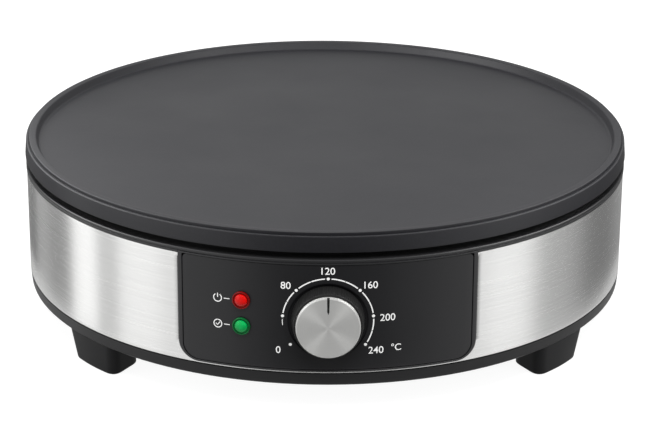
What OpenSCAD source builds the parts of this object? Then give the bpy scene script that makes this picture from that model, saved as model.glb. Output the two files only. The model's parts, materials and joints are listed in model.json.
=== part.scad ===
// Round electric crepe maker: a coated aluminium plate on a low housing of black plastic and steel.
// Millimetres. The origin is on the plate's axis, level with the bottoms of the foot pads.
// +Z is up, and the control panel faces -Y.

/* [Cooking plate] */
// Widest diameter of the plate, at its skirt
plate_d = 330; // [324:1:360]
// Thickness of the plate under the cooking surface
plate_t = 5.8; // [4:0.1:7]
// Height of the rim above the cooking surface
rim_h = 4.3; // [4.1:0.1:8]
// Height of the plate's edge, from the skirt's lower end to the rim's top
skirt_h = 10; // [8:0.1:13]
// Height of the rim above the skirt's shoulder
rim_step = 1.5; // [1:0.1:2]
// Distance of the rim's outer wall from the plate's widest radius
rim_inset = 2.3; // [2:0.1:3]
// Width of the flat top of the rim
rim_flat = 3; // [2:0.1:5]
// Slope width of the rim's inner wall
rim_slope = 1.5; // [0.5:0.1:3]
// Draw-in of the skirt's face, from its lower end up to its shoulder
skirt_lean = 0.7; // [0.4:0.1:1]
// Height of the cast bosses under the plate's edge
plate_boss_h = 9; // [7:0.5:12]
// Radius of the cast bosses under the plate's edge
plate_boss_r = 6.5; // [5:0.1:7]

/* [Housing] */
// Height of the feet, with their pads
foot_h = 17.5; // [15:0.5:25]
// Height of the base pan's outer ring
ring_h = 6.5; // [5:0.1:9]
// Visible height of the steel band
band_h = 58.5; // [57:0.5:75]
// Thickness of the steel band
band_t = 0.8; // [0.5:0.1:1.2]
// Height of the black lip over the band
lip_h = 3; // [2:0.1:5]
// Height of the dark gap between lip and plate skirt
gap_h = 3.8; // [2.5:0.1:6]
// Inset of the band's face from the plate's widest radius
band_inset = 0.6; // [0.5:0.1:3]
// Thickness of the base pan's floor
floor_t = 2.5; // [2:0.1:4]
// Height of the locating walls that stand inside the band
locator_h = 6; // [4:0.5:8]
// Width of the inner ledge that carries the plate
ledge_w = 18.5; // [17:0.5:24]
// Thickness of that ledge
ledge_t = 3; // [2.5:0.1:4]
// Depth of that ledge's top under the lip's lower face
ledge_drop = 7.5; // [6:0.5:10]
// Radius of the posts that join upper ring and base pan
post_r = 5.5; // [4.5:0.1:6]
// Half of the angle between the two posts beside the control panel
post_angle = 30; // [29:0.5:33]

/* [Feet] */
// Angle of each foot from the front or back centre
foot_angle = 50; // [48:0.5:60]
// Width of a foot along the ring, at its top
foot_w = 42; // [38:1:48]
// Depth of a foot towards the middle, at its top
foot_d = 24; // [23:1:30]
// Draw-in of a foot's sides on the way down
foot_draft = 2.5; // [1:0.5:4]
// Draw-in of a foot's sides on the way towards the middle
foot_taper = 8; // [4:0.5:9]
// Radius of a foot's upright corners
foot_corner = 7; // [4:0.5:8]
// Radius of a foot's rubber pad
pad_r = 8; // [7:0.5:9]
// Height of a rubber pad
pad_h = 3; // [2:0.5:4]

/* [Control panel] */
// Outer width of the control frame, straight across
panel_w = 150; // [145:0.2:152]
// Width of steel that shows below the frame
sliver_h = 1.3; // [1:0.1:2.5]
// Width of the frame's border at the sides
frame_w = 2; // [1.6:0.1:3.2]
// Width of the frame's border at the bottom
frame_sill = 0.9; // [0.8:0.1:2]
// Width of the frame's border at the top
frame_rail = 0.8; // [0.4:0.1:1.2]
// Radius of the frame's lower corners
frame_corner = 10; // [8:0.5:14]
// Depth of the frame's shell
frame_depth = 5.2; // [5:0.1:6]
// Thickness of the fascia
fascia_t = 2.7; // [2.4:0.1:3]
// Depth of the fascia's face below the frame's face
fascia_inset = 0.4; // [0.2:0.1:0.6]
// Radius of the round dish that the knob stands in
dish_r = 20; // [19.4:0.1:21]
// Depth of that dish at its middle
dish_depth = 2; // [1.6:0.1:2.1]

/* [Knob] */
// Height of the knob's axis above the base pan's underside
knob_rise = 35.3; // [35:0.1:38]
// Diameter of the grip at its back
knob_d = 37.2; // [34:0.2:37.4]
// Diameter of the grip at its front
knob_front_d = 34.6; // [33.6:0.2:35]
// Length of the grip
grip_h = 8.6; // [8:0.1:12]
// Number of ribs round the grip
ribs = 90; // [60:2:100]
// Depth of the ribs
rib_depth = 0.35; // [0.2:0.05:0.5]
// Diameter of the aluminium cap
cap_d = 32.3; // [30:0.1:33]
// Height of the cap from the grip to its face
cap_h = 2.1; // [1.8:0.1:3]
// Width of the pointer line
pointer_w = 1; // [0.6:0.1:2]
// Distance of the pointer line's inner end from the axis
pointer_in = 7.6; // [4:0.1:11]
// Radius of the thermostat spindle
spindle_r = 3; // [2.6:0.1:3.2]

/* [Lamps] */
// Distance of the lamps from the panel's middle, along its curve
lamp_arc = 43.6; // [40:0.1:48]
// Height of the middle between the lamps above the knob's axis
lamp_rise = 2.2; // [0:0.1:5]
// Distance between the two lamps
lamp_pitch = 14; // [13.8:0.1:17]
// Diameter of a lamp's flange
lamp_d = 9.4; // [8.6:0.1:10]
// Height of a lamp's dome over the fascia
lamp_h = 2.6; // [2:0.1:4]

/* [Heating] */
// Radius of the outer turn of the heating element
element_out_r = 118; // [114:0.5:119]
// Radius of the inner turn of the heating element
element_in_r = 70; // [64:0.5:72]
// Radius of the element's tube
element_tube_r = 3.3; // [2.8:0.1:3.6]
// Height of the cast lands under the plate
land_h = 4; // [3.8:0.1:5]
// Half width of a cast land
land_w = 7.5; // [6:0.5:8]
// Thickness of the clamp straps
strap_t = 1.2; // [0.8:0.1:1.4]
// Thickness of the heat shield
shield_t = 0.8; // [0.5:0.1:1]
// Radius of the thermostat's sensor bulb
bulb_r = 3; // [2.4:0.1:3.2]
// Length of the sensor bulb
bulb_len = 64; // [50:1:72]

/* [Thermostat] */
// Width of the thermostat body
stat_w = 34; // [30:1:36]
// Depth of the thermostat body
stat_d = 28; // [24:1:32]
// Distance of the bracket's face from the fascia's face
bracket_back = 13.4; // [12.8:0.1:15]
// Thickness of the bracket
bracket_t = 1.2; // [1:0.1:2]

/* [Mains side] */
// Radius of the cord gland's bore
gland_bore_r = 3.8; // [3:0.1:4.5]
// Height of the gland's axis above the base pan's underside
gland_rise = 26.5; // [24:0.5:32]
// Length of the gland's collar outside the band
gland_out = 6; // [4:0.5:8]
// Distance of the terminal block's middle from the band
block_inset = 30.4; // [29:0.2:34]

/* [Hidden] */
$fn = 64;

// Clearances
fit_gap = 0.15;    // between a screw, pin or tube and the hole round it
hole_gap = 0.3;    // round a screw that only passes through
panel_gap = 0.2;   // between the edges of covers
shell_gap = 0.1;   // between curved shells that lie on each other
run_gap = 0.05;    // round a turning shaft
seat_gap = 0.3;    // between a curved piece and what it lies on
eps = 0.01;        // overlap of shapes that make one solid; cuts run 1 mm or more past their faces

// Heights of the housing, from the floor up
pan_z = foot_h;
floor_z = pan_z + floor_t;
band_z = pan_z + ring_h;
lip_z = band_z + band_h;
lip_top = lip_z + lip_h;
skirt_z = lip_top + gap_h;
top_z = skirt_z + skirt_h;
surface_z = top_z - rim_h;
shoulder_z = top_z - rim_step;
under_z = surface_z - plate_t;
land_z = under_z - land_h;
ledge_top = lip_z - ledge_drop;
ledge_z = ledge_top - ledge_t;
shield_top = ledge_top + shield_t;
plate_boss_z = under_z - plate_boss_h;

// Radii of the housing, from the outside in
plate_r = plate_d / 2;
rim_round = 0.8;
rim_out = plate_r - rim_inset;
rim_in = rim_out - rim_round - rim_flat;
floor_r = rim_in - rim_slope;
shoulder_r = plate_r - skirt_lean;
shoulder_round = 0.6;
lip_r = plate_r - 0.3;
band_r = plate_r - band_inset;
band_in = band_r - band_t;
locator_t = 2.6;
locator_out = band_in - 0.4;
locator_in = locator_out - locator_t;
skirt_t = 7;
wall_t = 3;
wall_out = plate_r - skirt_t - 0.5;
wall_in = wall_out - wall_t;
wall_top = under_z - 0.6;
ledge_in = wall_in - ledge_w;
post_ring = plate_r - 18;
POSTS = [for (front = [-90, 90], side = [-1, 1]) front + side * post_angle];
PLATE_BOSSES = [45, 135, 225, 315];
boss_bore = 2.1;
boss_r = 4.5;
base_screw_r = 1.6;
base_head_r = 3.9;
base_head_h = 2.4;
base_seat_z = pan_z + 3;
post_foot_z = floor_z + 6.5;
post_screw_in = 12;
shield_r = wall_in - 2;
shield_rim_h = 4;
spacer_step = 0.5;
spacer_r = plate_boss_r - spacer_step;
plate_head_r = 4;
plate_head_h = 2.6;
plate_screw_top = 4;
vents = 20;
vent_in = 42;
vent_out = 88;
vent_w = 3.6;
seam_angle = 70;
seam_gap = 0.6;
seam_strip_w = 16;
seam_low = band_z + locator_h + 0.5;
seam_high = lip_z - locator_h - 0.5;
strip_t = 1;
rivet_r = 1.6;
rivet_head_r = 2.6;
rivet_head_h = 0.8;
rivet_pitch = 14;

// Feet
foot_out = band_r - 0.9;
foot_mid = foot_out - 14.5;
pad_proud = 0.5;
foot_seat_z = pad_h + 4;
foot_head_r = 3.7;
foot_screw_r = 1.9;
foot_head_h = 2.4;
foot_post_h = 9;

// Control panel: its face is a cylinder round the plate's axis
frame_r = plate_r;
frame_in = frame_r - frame_depth;
fascia_r = frame_r - fascia_inset;
fascia_in = fascia_r - fascia_t;
frame_z = band_z + sliver_h;
panel_top = lip_z + 1.1;
dish_floor_t = 3.1;
window_half = panel_w / 2 - frame_w;
window_z = frame_z + frame_sill;
rear_half = window_half - 4;
rear_top = lip_z - 4.5;
top_corner = 2.5;
ear_w = 12;
ear_side = 4.7;
ear_x = rear_half - ear_w / 2 - ear_side;
ear_back = 17.8;
ear_y = ear_back - frame_in;
ear_z = frame_z + 4.1;
ear_t = 3;
rear_z = ear_z + ear_t + 0.5;

// Small screws, which hold frame, bracket, thermostat and terminal block
small_screw_r = 1.6;
small_head_r = 2.9;
small_head_h = 2;

// Knob, along an axis that runs front to back
knob_z = pan_z + knob_rise;
dish_y = fascia_r - dish_depth;
knob_back = dish_y + 0.4;
grip_r = knob_d / 2;
cap_r = cap_d / 2;
hub_r = 5.4;
clip_r = 6.2;
clip_z = 1;
clip_w = 2.4;
cap_seat_r = cap_r - 0.9;
cap_plug_h = 0.9;
pointer_cut = 0.4;
knob_bore = grip_h - 1.8;
grip_wall = 2.2;
grip_roof = 3.2;
flat_y = spindle_r - 1;

// Thermostat, behind the fascia
bracket_y = fascia_r - bracket_back;
stat_y = bracket_y - bracket_t;
stat_half = stat_w / 2;
bushing_r = 5;
bushing_out = 7;
bushing_in = 6;
cavity_r = 7.2;
cavity_end = 20;
collar_r = spindle_r + 2;
collar_t = 2;
collar_back = -bushing_in - seat_gap - collar_t;
spindle_tip = knob_back + knob_bore - 0.4 - stat_y;
flat_len = 12;
stat_back = stat_y - stat_d;
follower_r = 2.4;
follower_free = 0.6;
follower_back = 3 - stat_d;
nut_t = 3;
nut_af = 14;
bracket_foot_z = floor_z + 8;
bracket_foot_d = 17;
bracket_half = 24;
bracket_hole_x = 16;
bracket_hole_y = bracket_foot_d - 6 - bracket_y;
stat_screw_x = 13;
stat_screw_in = 7;
blade_x = 8;
blade_rise = 7;
blade_len = 8;
blade_w = 6.3;
blade_t = 0.8;

// Lamps, square to the curved fascia
lamp_turn = lamp_arc / fascia_r * 180 / PI;
lamp_mid = knob_z + lamp_rise;
LAMP_ZS = [lamp_mid + lamp_pitch / 2, lamp_mid - lamp_pitch / 2];
lamp_stem_r = 3.9;
lamp_body_r = 5.2;
lamp_body_len = 18;
lamp_nut_r = 6.6;
lamp_nut_t = 1;
lamp_stem_end = fascia_in - 3.2;
lamp_back = lamp_stem_end - lamp_body_len;

// Heating
element_gap = 15;
element_start = 90 + element_gap;
element_end = 90 - element_gap;
element_bend = 10;
cold_end_z = 60;
cold_end_gap = 1.3;
seal_h = 2;
pin_r = 1.4;
pin_len = 6;
pin_end_z = cold_end_z - pin_len;
turn_r = (element_out_r - element_in_r) / 2;
turn_mid = (element_out_r + element_in_r) / 2;
turn_groove = element_tube_r + seat_gap;
OUTER_CLAMPS = [180, 270, 0];
INNER_CLAMPS = [150, 270, 30];
strap_w = 10;
strap_reach = 7;
strap_screw_r = 1.5;
strap_screw_in = 3;
strap_head_r = 2.4;
strap_head_h = 1.6;
strap_boss_r = 3.8;
sleeve_len = 2;
bulb_z = under_z - bulb_r - fit_gap;
fuse_r = 2.2;
fuse_len = 16;
fuse_y = -38;
fuse_z = under_z - fuse_r - fit_gap;
lead_r = 0.5;
lead_len = 8;
wire_hole_x = 30;
wire_hole_r = 3;
capillary_r = 0.9;
capillary_x = 44;
capillary_y = -14;

// Mains side, at the back
gland_z = pan_z + gland_rise;
gland_r = 6.4;
gland_face = band_r + 0.1;
flange_t = 2;
flange_r = 10;
collar_out_r = 7.5;
gland_end = gland_face - 12.5;
gland_nut_face = band_in - 0.7;
gland_nut_t = 4;
gland_nut_af = 19;
block_y = band_r - block_inset;
block_w = 56;
block_d = 16;
block_h = 14;
block_z = floor_z + 3;
block_top = block_z + block_h;
block_hole_x = 16.5;
pole_pitch = 11;
POLES = [-2, -1, 0, 1, 2] * pole_pitch;
pole_z = block_z + 6;
pole_r = 1.9;
pole_screw_r = 1.6;
screw_row = 4;
earth_x = 45;
earth_y = 60;
earth_screw_r = 1.9;
earth_head_r = 3.6;
earth_nut_af = 7;
earth_nut_t = 2.8;
earth_tip_z = shield_top + 4;
earth_barrel_z = ledge_top - 2.3;
tag_r = 4.5;
tag_t = 0.8;
tag_reach = 6;

// Wires
wire_r = 1.3;
thin_wire_r = 0.8;
lane_z = floor_z + 7;
lane_x = wall_in - 72.5;
lamp_lane_x = wall_in - 92.5;
lamp_lane_z = floor_z + 4;
crimp_run = 3;
pole_step = 2;
pole_lead = 12;
blade_step = 8;
crimp_r = 2.1;
crimp_len = 8;

// ---- Shapes that repeat ----

module ring(outer, inner, z0, z1) {
    rotate_extrude($fn = 180) translate([inner, z0]) square([outer - inner, z1 - z0]);
}

module rod(r, z0, z1) {
    translate([0, 0, z0]) cylinder(r = r, h = z1 - z0);
}

module at(angle, radius, z = 0) {
    rotate([0, 0, angle]) translate([radius, 0, z]) children();
}

// Turns a shape that is drawn upwards so that it points along -Y, with its base at y = -distance
module facing_front(distance, x = 0, z = 0) {
    translate([x, -distance, z]) rotate([90, 0, 0]) children();
}

// Outline of the curved panel as seen from the front, with its own lower and upper corners
module panel_outline(half, z0, z1, low_r, high_r) {
    translate([-half, z0 + low_r]) square([2 * half, z1 - z0 - low_r - high_r]);
    translate([low_r - half, z0]) square([2 * (half - low_r), 2 * low_r]);
    translate([high_r - half, z1 - 2 * high_r]) square([2 * (half - high_r), 2 * high_r]);
    for (side = [-1, 1]) {
        translate([side * (half - low_r), z0 + low_r]) circle(low_r);
        translate([side * (half - high_r), z1 - high_r]) circle(high_r);
    }
}

module panel_prism(half, z0, z1, low_r, high_r) {
    facing_front(100) linear_extrude(100) panel_outline(half, z0, z1, low_r, high_r);
}

// Upright screw, driven from below: its head hangs under seat_z, and its tip points up
module screw(shank_r, head_r, seat_z, head_t, tip_z) {
    rod(head_r, seat_z - head_t, seat_z);
    rod(shank_r, seat_z - eps, tip_z);
}

// The same screw, driven from above
module screw_down(shank_r, head_r, seat_z, head_t, tip_z) {
    rod(head_r, seat_z, seat_z + head_t);
    rod(shank_r, tip_z, seat_z + eps);
}

// Small screw, driven from above
module small_screw(seat_z, tip_z) {
    screw_down(small_screw_r, small_head_r, seat_z, small_head_h, tip_z);
}

// Hexagonal prism with its width across flats
module hex(across, h) {
    cylinder(r = across / sqrt(3), h = h, $fn = 6);
}

function unit(v) = v / norm(v);

// Smooth curve through the points, with a fixed number of steps in each span
function spline(p, steps) = let (n = len(p) - 1) [
    for (i = [0:n - 1]) let (
        a = i == 0 ? 2 * p[0] - p[1] : p[i - 1],
        b = p[i],
        c = p[i + 1],
        d = i == n - 1 ? 2 * p[n] - p[n - 1] : p[i + 2]
    ) for (k = [0:steps - 1]) let (t = k / steps)
        (2 * b + t * (c - a) + t * t * (2 * a - 5 * b + 4 * c - d)
            + t * t * t * (3 * b - 3 * c + d - a)) / 2,
    p[n]
];

// Directions along a route, and the sideways vector that is carried along it without twist
function headings(p) = let (n = len(p) - 1)
    [for (i = [0:n]) unit(p[min(i + 1, n)] - p[max(i - 1, 0)])];
function sideways(t) = [
    for (i = 0, u = unit(cross(t[0], abs(t[0].z) < 0.9 ? [0, 0, 1] : [1, 0, 0])); i < len(t);
        i = i + 1, u = i < len(t) ? unit(u - (u * t[i]) * t[i]) : u) u
];

// Round tube swept along a route
module wire(route, r, steps = 5, sides = 8) {
    p = spline(route, steps);
    t = headings(p);
    u = sideways(t);
    n = len(p);
    points = [for (i = [0:n - 1]) let (v = cross(t[i], u[i])) for (k = [0:sides - 1])
        p[i] + r * (cos(360 * k / sides) * u[i] + sin(360 * k / sides) * v)];
    walls = [for (i = [0:n - 2], k = [0:sides - 1]) let (
        a = i * sides + k,
        b = i * sides + (k + 1) % sides
    ) each [[a, a + sides, b], [b, a + sides, b + sides]]];
    first = [for (k = [1:sides - 2]) [0, k, k + 1]];
    last = [for (k = [1:sides - 2]) (n - 1) * sides * [1, 1, 1] + [0, k + 1, k]];
    polyhedron(points, concat(walls, first, last));
}

// Distance of a strap's screws from its tube's centre line
function strap_x(tube_r) = tube_r + fit_gap + strap_t + (strap_reach - strap_t) / 2;

// Strap that holds a tube, which runs along Y, against two bosses: an arch with two flat ears
module strap(tube_r, tube_z) {
    arch_r = tube_r + fit_gap;
    half = arch_r + strap_reach;
    difference() {
        union() {
            translate([0, 0, tube_z]) rotate([90, 0, 0])
                cylinder(r = arch_r + strap_t, h = strap_w, center = true);
            translate([-half, -strap_w / 2, land_z - strap_t]) cube([2 * half, strap_w, strap_t]);
        }
        translate([0, 0, tube_z]) rotate([90, 0, 0]) cylinder(r = arch_r, h = strap_w + 2, center = true);
        translate([-arch_r, -strap_w, tube_z]) cube([2 * arch_r, 2 * strap_w, 20]);
        translate([-half - 1, -strap_w, land_z]) cube([2 * half + 2, 2 * strap_w, 20]);
        for (side = [-1, 1]) translate([side * strap_x(tube_r), 0, 0])
            rod(strap_screw_r + fit_gap, land_z - 5, land_z + 1);
    }
}

module strap_screws(tube_r) {
    for (side = [-1, 1]) translate([side * strap_x(tube_r), 0, 0])
        screw(strap_screw_r, strap_head_r, land_z - strap_t, strap_head_h, land_z + strap_screw_in);
}

module strap_bosses(tube_r) {
    for (side = [-1, 1]) translate([side * strap_x(tube_r), 0, 0]) rod(strap_boss_r, land_z, under_z + 1);
}

module strap_holes(tube_r) {
    for (side = [-1, 1]) translate([side * strap_x(tube_r), 0, 0])
        rod(strap_screw_r + fit_gap, land_z - 1, land_z + strap_screw_in + 0.4);
}

// Places of everything that a strap holds: the element's turns, the sensor bulb and the fuse
module at_element_straps() {
    for (a = OUTER_CLAMPS) at(a, element_out_r) children();
    for (a = INNER_CLAMPS) at(a, element_in_r) children();
}
module at_bulb() { rotate([0, 0, 90]) children(); }
module at_fuse() { translate([0, fuse_y, 0]) rotate([0, 0, 90]) children(); }

// ---- Cooking plate and what hangs under it ----

module plate_profile() {
    polygon([
        [0, under_z], [plate_r - skirt_t - 1, under_z], [plate_r - skirt_t, skirt_z], [plate_r - 1, skirt_z],
        [plate_r - 0.2, skirt_z + 0.3], [plate_r, skirt_z + 0.9],
        for (a = [15:15:90]) [shoulder_r, shoulder_z] - shoulder_round * [1 - cos(a), 1 - sin(a)],
        [rim_out + 0.3, shoulder_z - 0.3], [rim_out, shoulder_z],
        for (a = [0:15:90]) [rim_out, top_z] - rim_round * [1 - cos(a), 1 - sin(a)],
        [rim_in + 0.3, top_z - 0.1], [rim_in, top_z - 0.3], [floor_r + 0.3, surface_z + 0.4],
        [floor_r - 0.6, surface_z], [0, surface_z]
    ]);
}

module cooking_plate() color([0.30, 0.30, 0.31]) difference() {
    union() {
        rotate_extrude($fn = 180) plate_profile();
        for (radius = [element_in_r, element_out_r])
            ring(radius + land_w, radius - land_w, land_z, under_z + 1);
        at(element_end, turn_mid) rod(turn_r + land_w, land_z, under_z + 1);
        for (a = PLATE_BOSSES) at(a, post_ring) rod(plate_boss_r, plate_boss_z, under_z + 1);
        at_element_straps() strap_bosses(element_tube_r);
        at_bulb() strap_bosses(bulb_r);
        at_fuse() strap_bosses(fuse_r);
    }
    for (radius = [element_in_r, element_out_r]) torus(radius, element_tube_r + fit_gap);
    at(element_end, turn_mid)
        ring(turn_r + turn_groove, turn_r - turn_groove, land_z - 1, land_z + turn_groove);
    for (a = PLATE_BOSSES) at(a, post_ring) rod(boss_bore, plate_boss_z - 1, under_z - 2);
    at_element_straps() strap_holes(element_tube_r);
    at_bulb() strap_holes(bulb_r);
    at_fuse() strap_holes(fuse_r);
}

// Level ring of round tube at the height of the plate's lands
module torus(radius, tube_r, sweep = 360) {
    rotate_extrude(angle = sweep, $fn = 120) translate([radius, land_z]) circle(tube_r, $fn = 32);
}

// Carries a shape to both ends of the element, where its turns bend down
module at_cold_ends() {
    for (radius = [element_in_r, element_out_r])
        at(element_start, radius) translate([0, -element_bend, 0]) children();
}
function cold_end(radius) = [
    radius * cos(element_start) + element_bend * sin(element_start),
    radius * sin(element_start) - element_bend * cos(element_start)
];

module heating_element() color([0.55, 0.53, 0.50]) {
    rotate([0, 0, element_start])
        for (radius = [element_in_r, element_out_r]) torus(radius, element_tube_r, 360 - 2 * element_gap);
    at(element_end, turn_mid) torus(turn_r, element_tube_r, 180);
    for (radius = [element_in_r, element_out_r])
        at(element_start, radius, land_z - element_bend) rotate([90, 0, -90]) rotate_extrude(angle = 90, $fn = 60)
            translate([element_bend, 0]) circle(element_tube_r, $fn = 32);
    at_cold_ends() rod(element_tube_r, cold_end_z, land_z - element_bend);
    for (a = [element_start, element_end], radius = [element_in_r, element_out_r])
        at(a, radius, land_z) rotate([90, 0, 0]) sleeve();
    at_cold_ends() translate([0, 0, land_z - element_bend]) sleeve();
}

// Brazed sleeve over a joint of the element's tube
module sleeve() { cylinder(r = element_tube_r + shell_gap, h = sleeve_len, center = true); }

module element_terminals() color([0.90, 0.88, 0.82]) at_cold_ends() {
    rod(element_tube_r - 0.5, cold_end_z - seal_h, cold_end_z);
    rod(pin_r, pin_end_z, cold_end_z - seal_h + eps);
}

module element_clamps() color([0.75, 0.76, 0.77]) at_element_straps() strap(element_tube_r, land_z);

module clamp_screws() color([0.70, 0.70, 0.72]) {
    at_element_straps() strap_screws(element_tube_r);
    at_bulb() strap_screws(bulb_r);
    at_fuse() strap_screws(fuse_r);
}

module heat_shield() color([0.80, 0.81, 0.82]) difference() {
    union() {
        rod(shield_r, ledge_top, shield_top, $fn = 180);
        ring(shield_r, shield_r - shield_t, ledge_top, ledge_top + shield_rim_h);
    }
    for (a = PLATE_BOSSES) at(a, post_ring) rod(boss_bore + hole_gap, ledge_z, ledge_top + 2);
    at_cold_ends() rod(element_tube_r + cold_end_gap, ledge_z, ledge_top + 2);
    for (hole = [[-wire_hole_x, fuse_y], [wire_hole_x, fuse_y], [capillary_x, capillary_y]])
        translate(hole) rod(wire_hole_r, ledge_z, ledge_top + 2);
    translate([-earth_x, earth_y, 0]) rod(earth_screw_r + fit_gap, ledge_z, ledge_top + 2);
    for (a = PLATE_BOSSES) at(a, post_ring) rod(plate_boss_r + seat_gap, shield_top, plate_boss_z + 1);
}

module plate_spacers() color([0.85, 0.83, 0.78]) for (a = PLATE_BOSSES) at(a, post_ring)
    difference() {
        rod(spacer_r, shield_top, plate_boss_z);
        rod(boss_bore + hole_gap, shield_top - 1, plate_boss_z + 1);
    }

module plate_screws() color([0.70, 0.70, 0.72]) for (a = PLATE_BOSSES) at(a, post_ring)
    screw(boss_bore - shell_gap, plate_head_r, ledge_z, plate_head_h, under_z - plate_screw_top);

module sensor_bulb() color([0.72, 0.45, 0.30]) translate([-bulb_len / 2, 0, bulb_z]) rotate([0, 90, 0]) {
    cylinder(r = bulb_r, h = bulb_len);
}

module bulb_clip() color([0.75, 0.76, 0.77]) at_bulb() strap(bulb_r, bulb_z);

module thermal_fuse() color([0.86, 0.80, 0.62]) translate([0, fuse_y, fuse_z]) rotate([0, 90, 0]) {
    rod(fuse_r, -fuse_len / 2, fuse_len / 2);
    rod(lead_r, -fuse_len / 2 - lead_len, fuse_len / 2 + lead_len);
}

module fuse_clip() color([0.75, 0.76, 0.77]) at_fuse() strap(fuse_r, fuse_z);

// ---- Housing ----

module upper_ring() color([0.13, 0.13, 0.13]) difference() {
    union() {
        rotate_extrude($fn = 180) polygon([
            [ledge_in, ledge_z], [wall_out, ledge_z], [wall_out, lip_z], [locator_in, lip_z],
            [locator_in, lip_z - locator_h], [locator_out, lip_z - locator_h], [locator_out, lip_z],
            [lip_r - 0.2, lip_z], [lip_r, lip_z + 0.2], [lip_r, lip_z + lip_h / 2 - 0.2],
            [lip_r - 0.3, lip_z + lip_h / 2], [lip_r, lip_z + lip_h / 2 + 0.2], [lip_r, lip_top - 0.4],
            [lip_r - 0.4, lip_top], [wall_out, lip_top], [wall_out, wall_top], [wall_in, wall_top],
            [wall_in, ledge_top], [ledge_in, ledge_top]
        ]);
        for (a = POSTS) at(a, post_ring) rod(post_r, post_foot_z, ledge_z + 1);
    }
    for (a = PLATE_BOSSES) at(a, post_ring) rod(boss_bore + hole_gap, ledge_z - 1, ledge_top + 1);
    at_cold_ends() rod(element_tube_r + cold_end_gap, ledge_z - 1, ledge_top + 1);
    for (a = POSTS) at(a, post_ring)
        rod(base_screw_r + fit_gap, post_foot_z - 1, post_foot_z + post_screw_in + 3);
    panel_cut(wall_out + 0.5, panel_w / 2 + panel_gap, lip_z - locator_h - 1, panel_top + panel_gap, 1);
}

// Takes the control panel's outline out of the shells that lie outside a radius
module panel_cut(inner_r, half, z0, z1, low_r) {
    difference() {
        panel_prism(half, z0, z1, low_r, 0.8);
        rod(inner_r, z0 - 1, z1 + 1, $fn = 180);
    }
}

module steel_band() color([0.78, 0.78, 0.77]) difference() {
    ring(band_r, band_in, band_z, lip_z);
    panel_cut(band_in - 1, panel_w / 2 + fit_gap, frame_z - fit_gap, lip_z + 5, frame_corner + fit_gap);
    translate([0, band_in - 2, gland_z]) rotate([-90, 0, 0]) cylinder(r = gland_r + fit_gap, h = 5);
    rotate([0, 0, seam_angle]) translate([band_in - 1, -seam_gap / 2, band_z - 1])
        cube([4, seam_gap, band_h + 2]);
    at_rivets() cylinder(r = rivet_r + shell_gap, h = 6, center = true);
}

// Carries a shape to each rivet of the band's seam, drawn upwards and turned to point outwards
module at_rivets() {
    for (side = [-1, 1], z = [seam_low + 5 : rivet_pitch : seam_high - 4])
        rotate([0, 0, seam_angle + side * atan(seam_strip_w / 4 / band_r)]) translate([band_in, 0, z])
            rotate([0, 90, 0]) children();
}

module band_seam_strip() color([0.60, 0.61, 0.62]) difference() {
    intersection() {
        ring(band_in - shell_gap, band_in - shell_gap - strip_t, seam_low, seam_high);
        rotate([0, 0, seam_angle]) translate([0, -seam_strip_w / 2, 0]) cube([plate_r, seam_strip_w, top_z]);
    }
    at_rivets() cylinder(r = rivet_r + shell_gap, h = 6, center = true);
}

// Rivets: a shank through band and strip, a low dome outside and a flat head inside
module seam_rivets() color([0.70, 0.71, 0.72]) at_rivets() {
    face = band_t + shell_gap;
    back = -strip_t - seat_gap;
    rod(rivet_r, back - eps, face);
    rotate_extrude() polygon([[0, face], [rivet_head_r, face], [rivet_head_r - 0.4, face + 0.5],
        [rivet_head_r - 1.4, face + rivet_head_h], [0, face + rivet_head_h]]);
    rod(rivet_head_r, back - rivet_head_h, back);
}

module base_pan() color([0.12, 0.12, 0.12]) difference() {
    union() {
        rotate_extrude($fn = 180) polygon([
            [0, pan_z], [band_r - 1.3, pan_z], [band_r - 0.5, pan_z + 0.8], [band_r, band_z],
            [locator_out, band_z], [locator_out, band_z + locator_h], [locator_in, band_z + locator_h],
            [locator_in, floor_z], [0, floor_z]
        ]);
        for (a = POSTS) at(a, post_ring) rod(post_r + 1.5, pan_z + 1, post_foot_z);
        at_feet() rod(boss_r, pan_z + 1, floor_z + foot_post_h);
        for (x = [-1, 1]) {
            translate([x * ear_x, ear_y, 0]) rod(boss_r, pan_z + 1, ear_z);
            translate([x * bracket_hole_x, bracket_hole_y, 0]) rod(boss_r, pan_z + 1, bracket_foot_z);
            translate([x * block_hole_x, block_y, 0]) rod(boss_r - 1, pan_z + 1, block_z);
        }
    }
    for (a = POSTS) at(a, post_ring) {
        rod(base_screw_r + hole_gap, pan_z - 1, post_foot_z + 1);
        rod(base_head_r + hole_gap, pan_z - 1, base_seat_z);
    }
    at_feet() rod(foot_screw_r + fit_gap, pan_z - 1, floor_z + foot_post_h - 1);
    for (x = [-1, 1]) {
        translate([x * ear_x, ear_y, 0]) rod(small_screw_r + fit_gap, floor_z + 1, ear_z + 1);
        translate([x * bracket_hole_x, bracket_hole_y, 0])
            rod(small_screw_r + fit_gap, floor_z, bracket_foot_z + 1);
        translate([x * block_hole_x, block_y, 0]) rod(small_screw_r + fit_gap, pan_z + 1, block_z + 1);
    }
    for (a = [0:360 / vents:359]) at(a + 180 / vents, 0) vent_slot();
    panel_cut(wall_out + 0.5, panel_w / 2 + panel_gap, frame_z - panel_gap, lip_z, frame_corner);
}

// Slot with round ends, from the inner to the outer radius of the vents
module vent_slot() {
    translate([vent_in, -vent_w / 2, pan_z - 1]) cube([vent_out - vent_in, vent_w, floor_t + 2]);
    for (r = [vent_in, vent_out]) translate([r, 0, 0]) rod(vent_w / 2, pan_z - 1, floor_z + 1);
}

module base_screws() color([0.70, 0.70, 0.72]) for (a = POSTS) at(a, post_ring)
    screw(base_screw_r, base_head_r, base_seat_z, base_head_h, post_foot_z + post_screw_in);

// ---- Feet ----

FEET = [for (front = [-90, 90], side = [-1, 1]) front + side * foot_angle];

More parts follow.
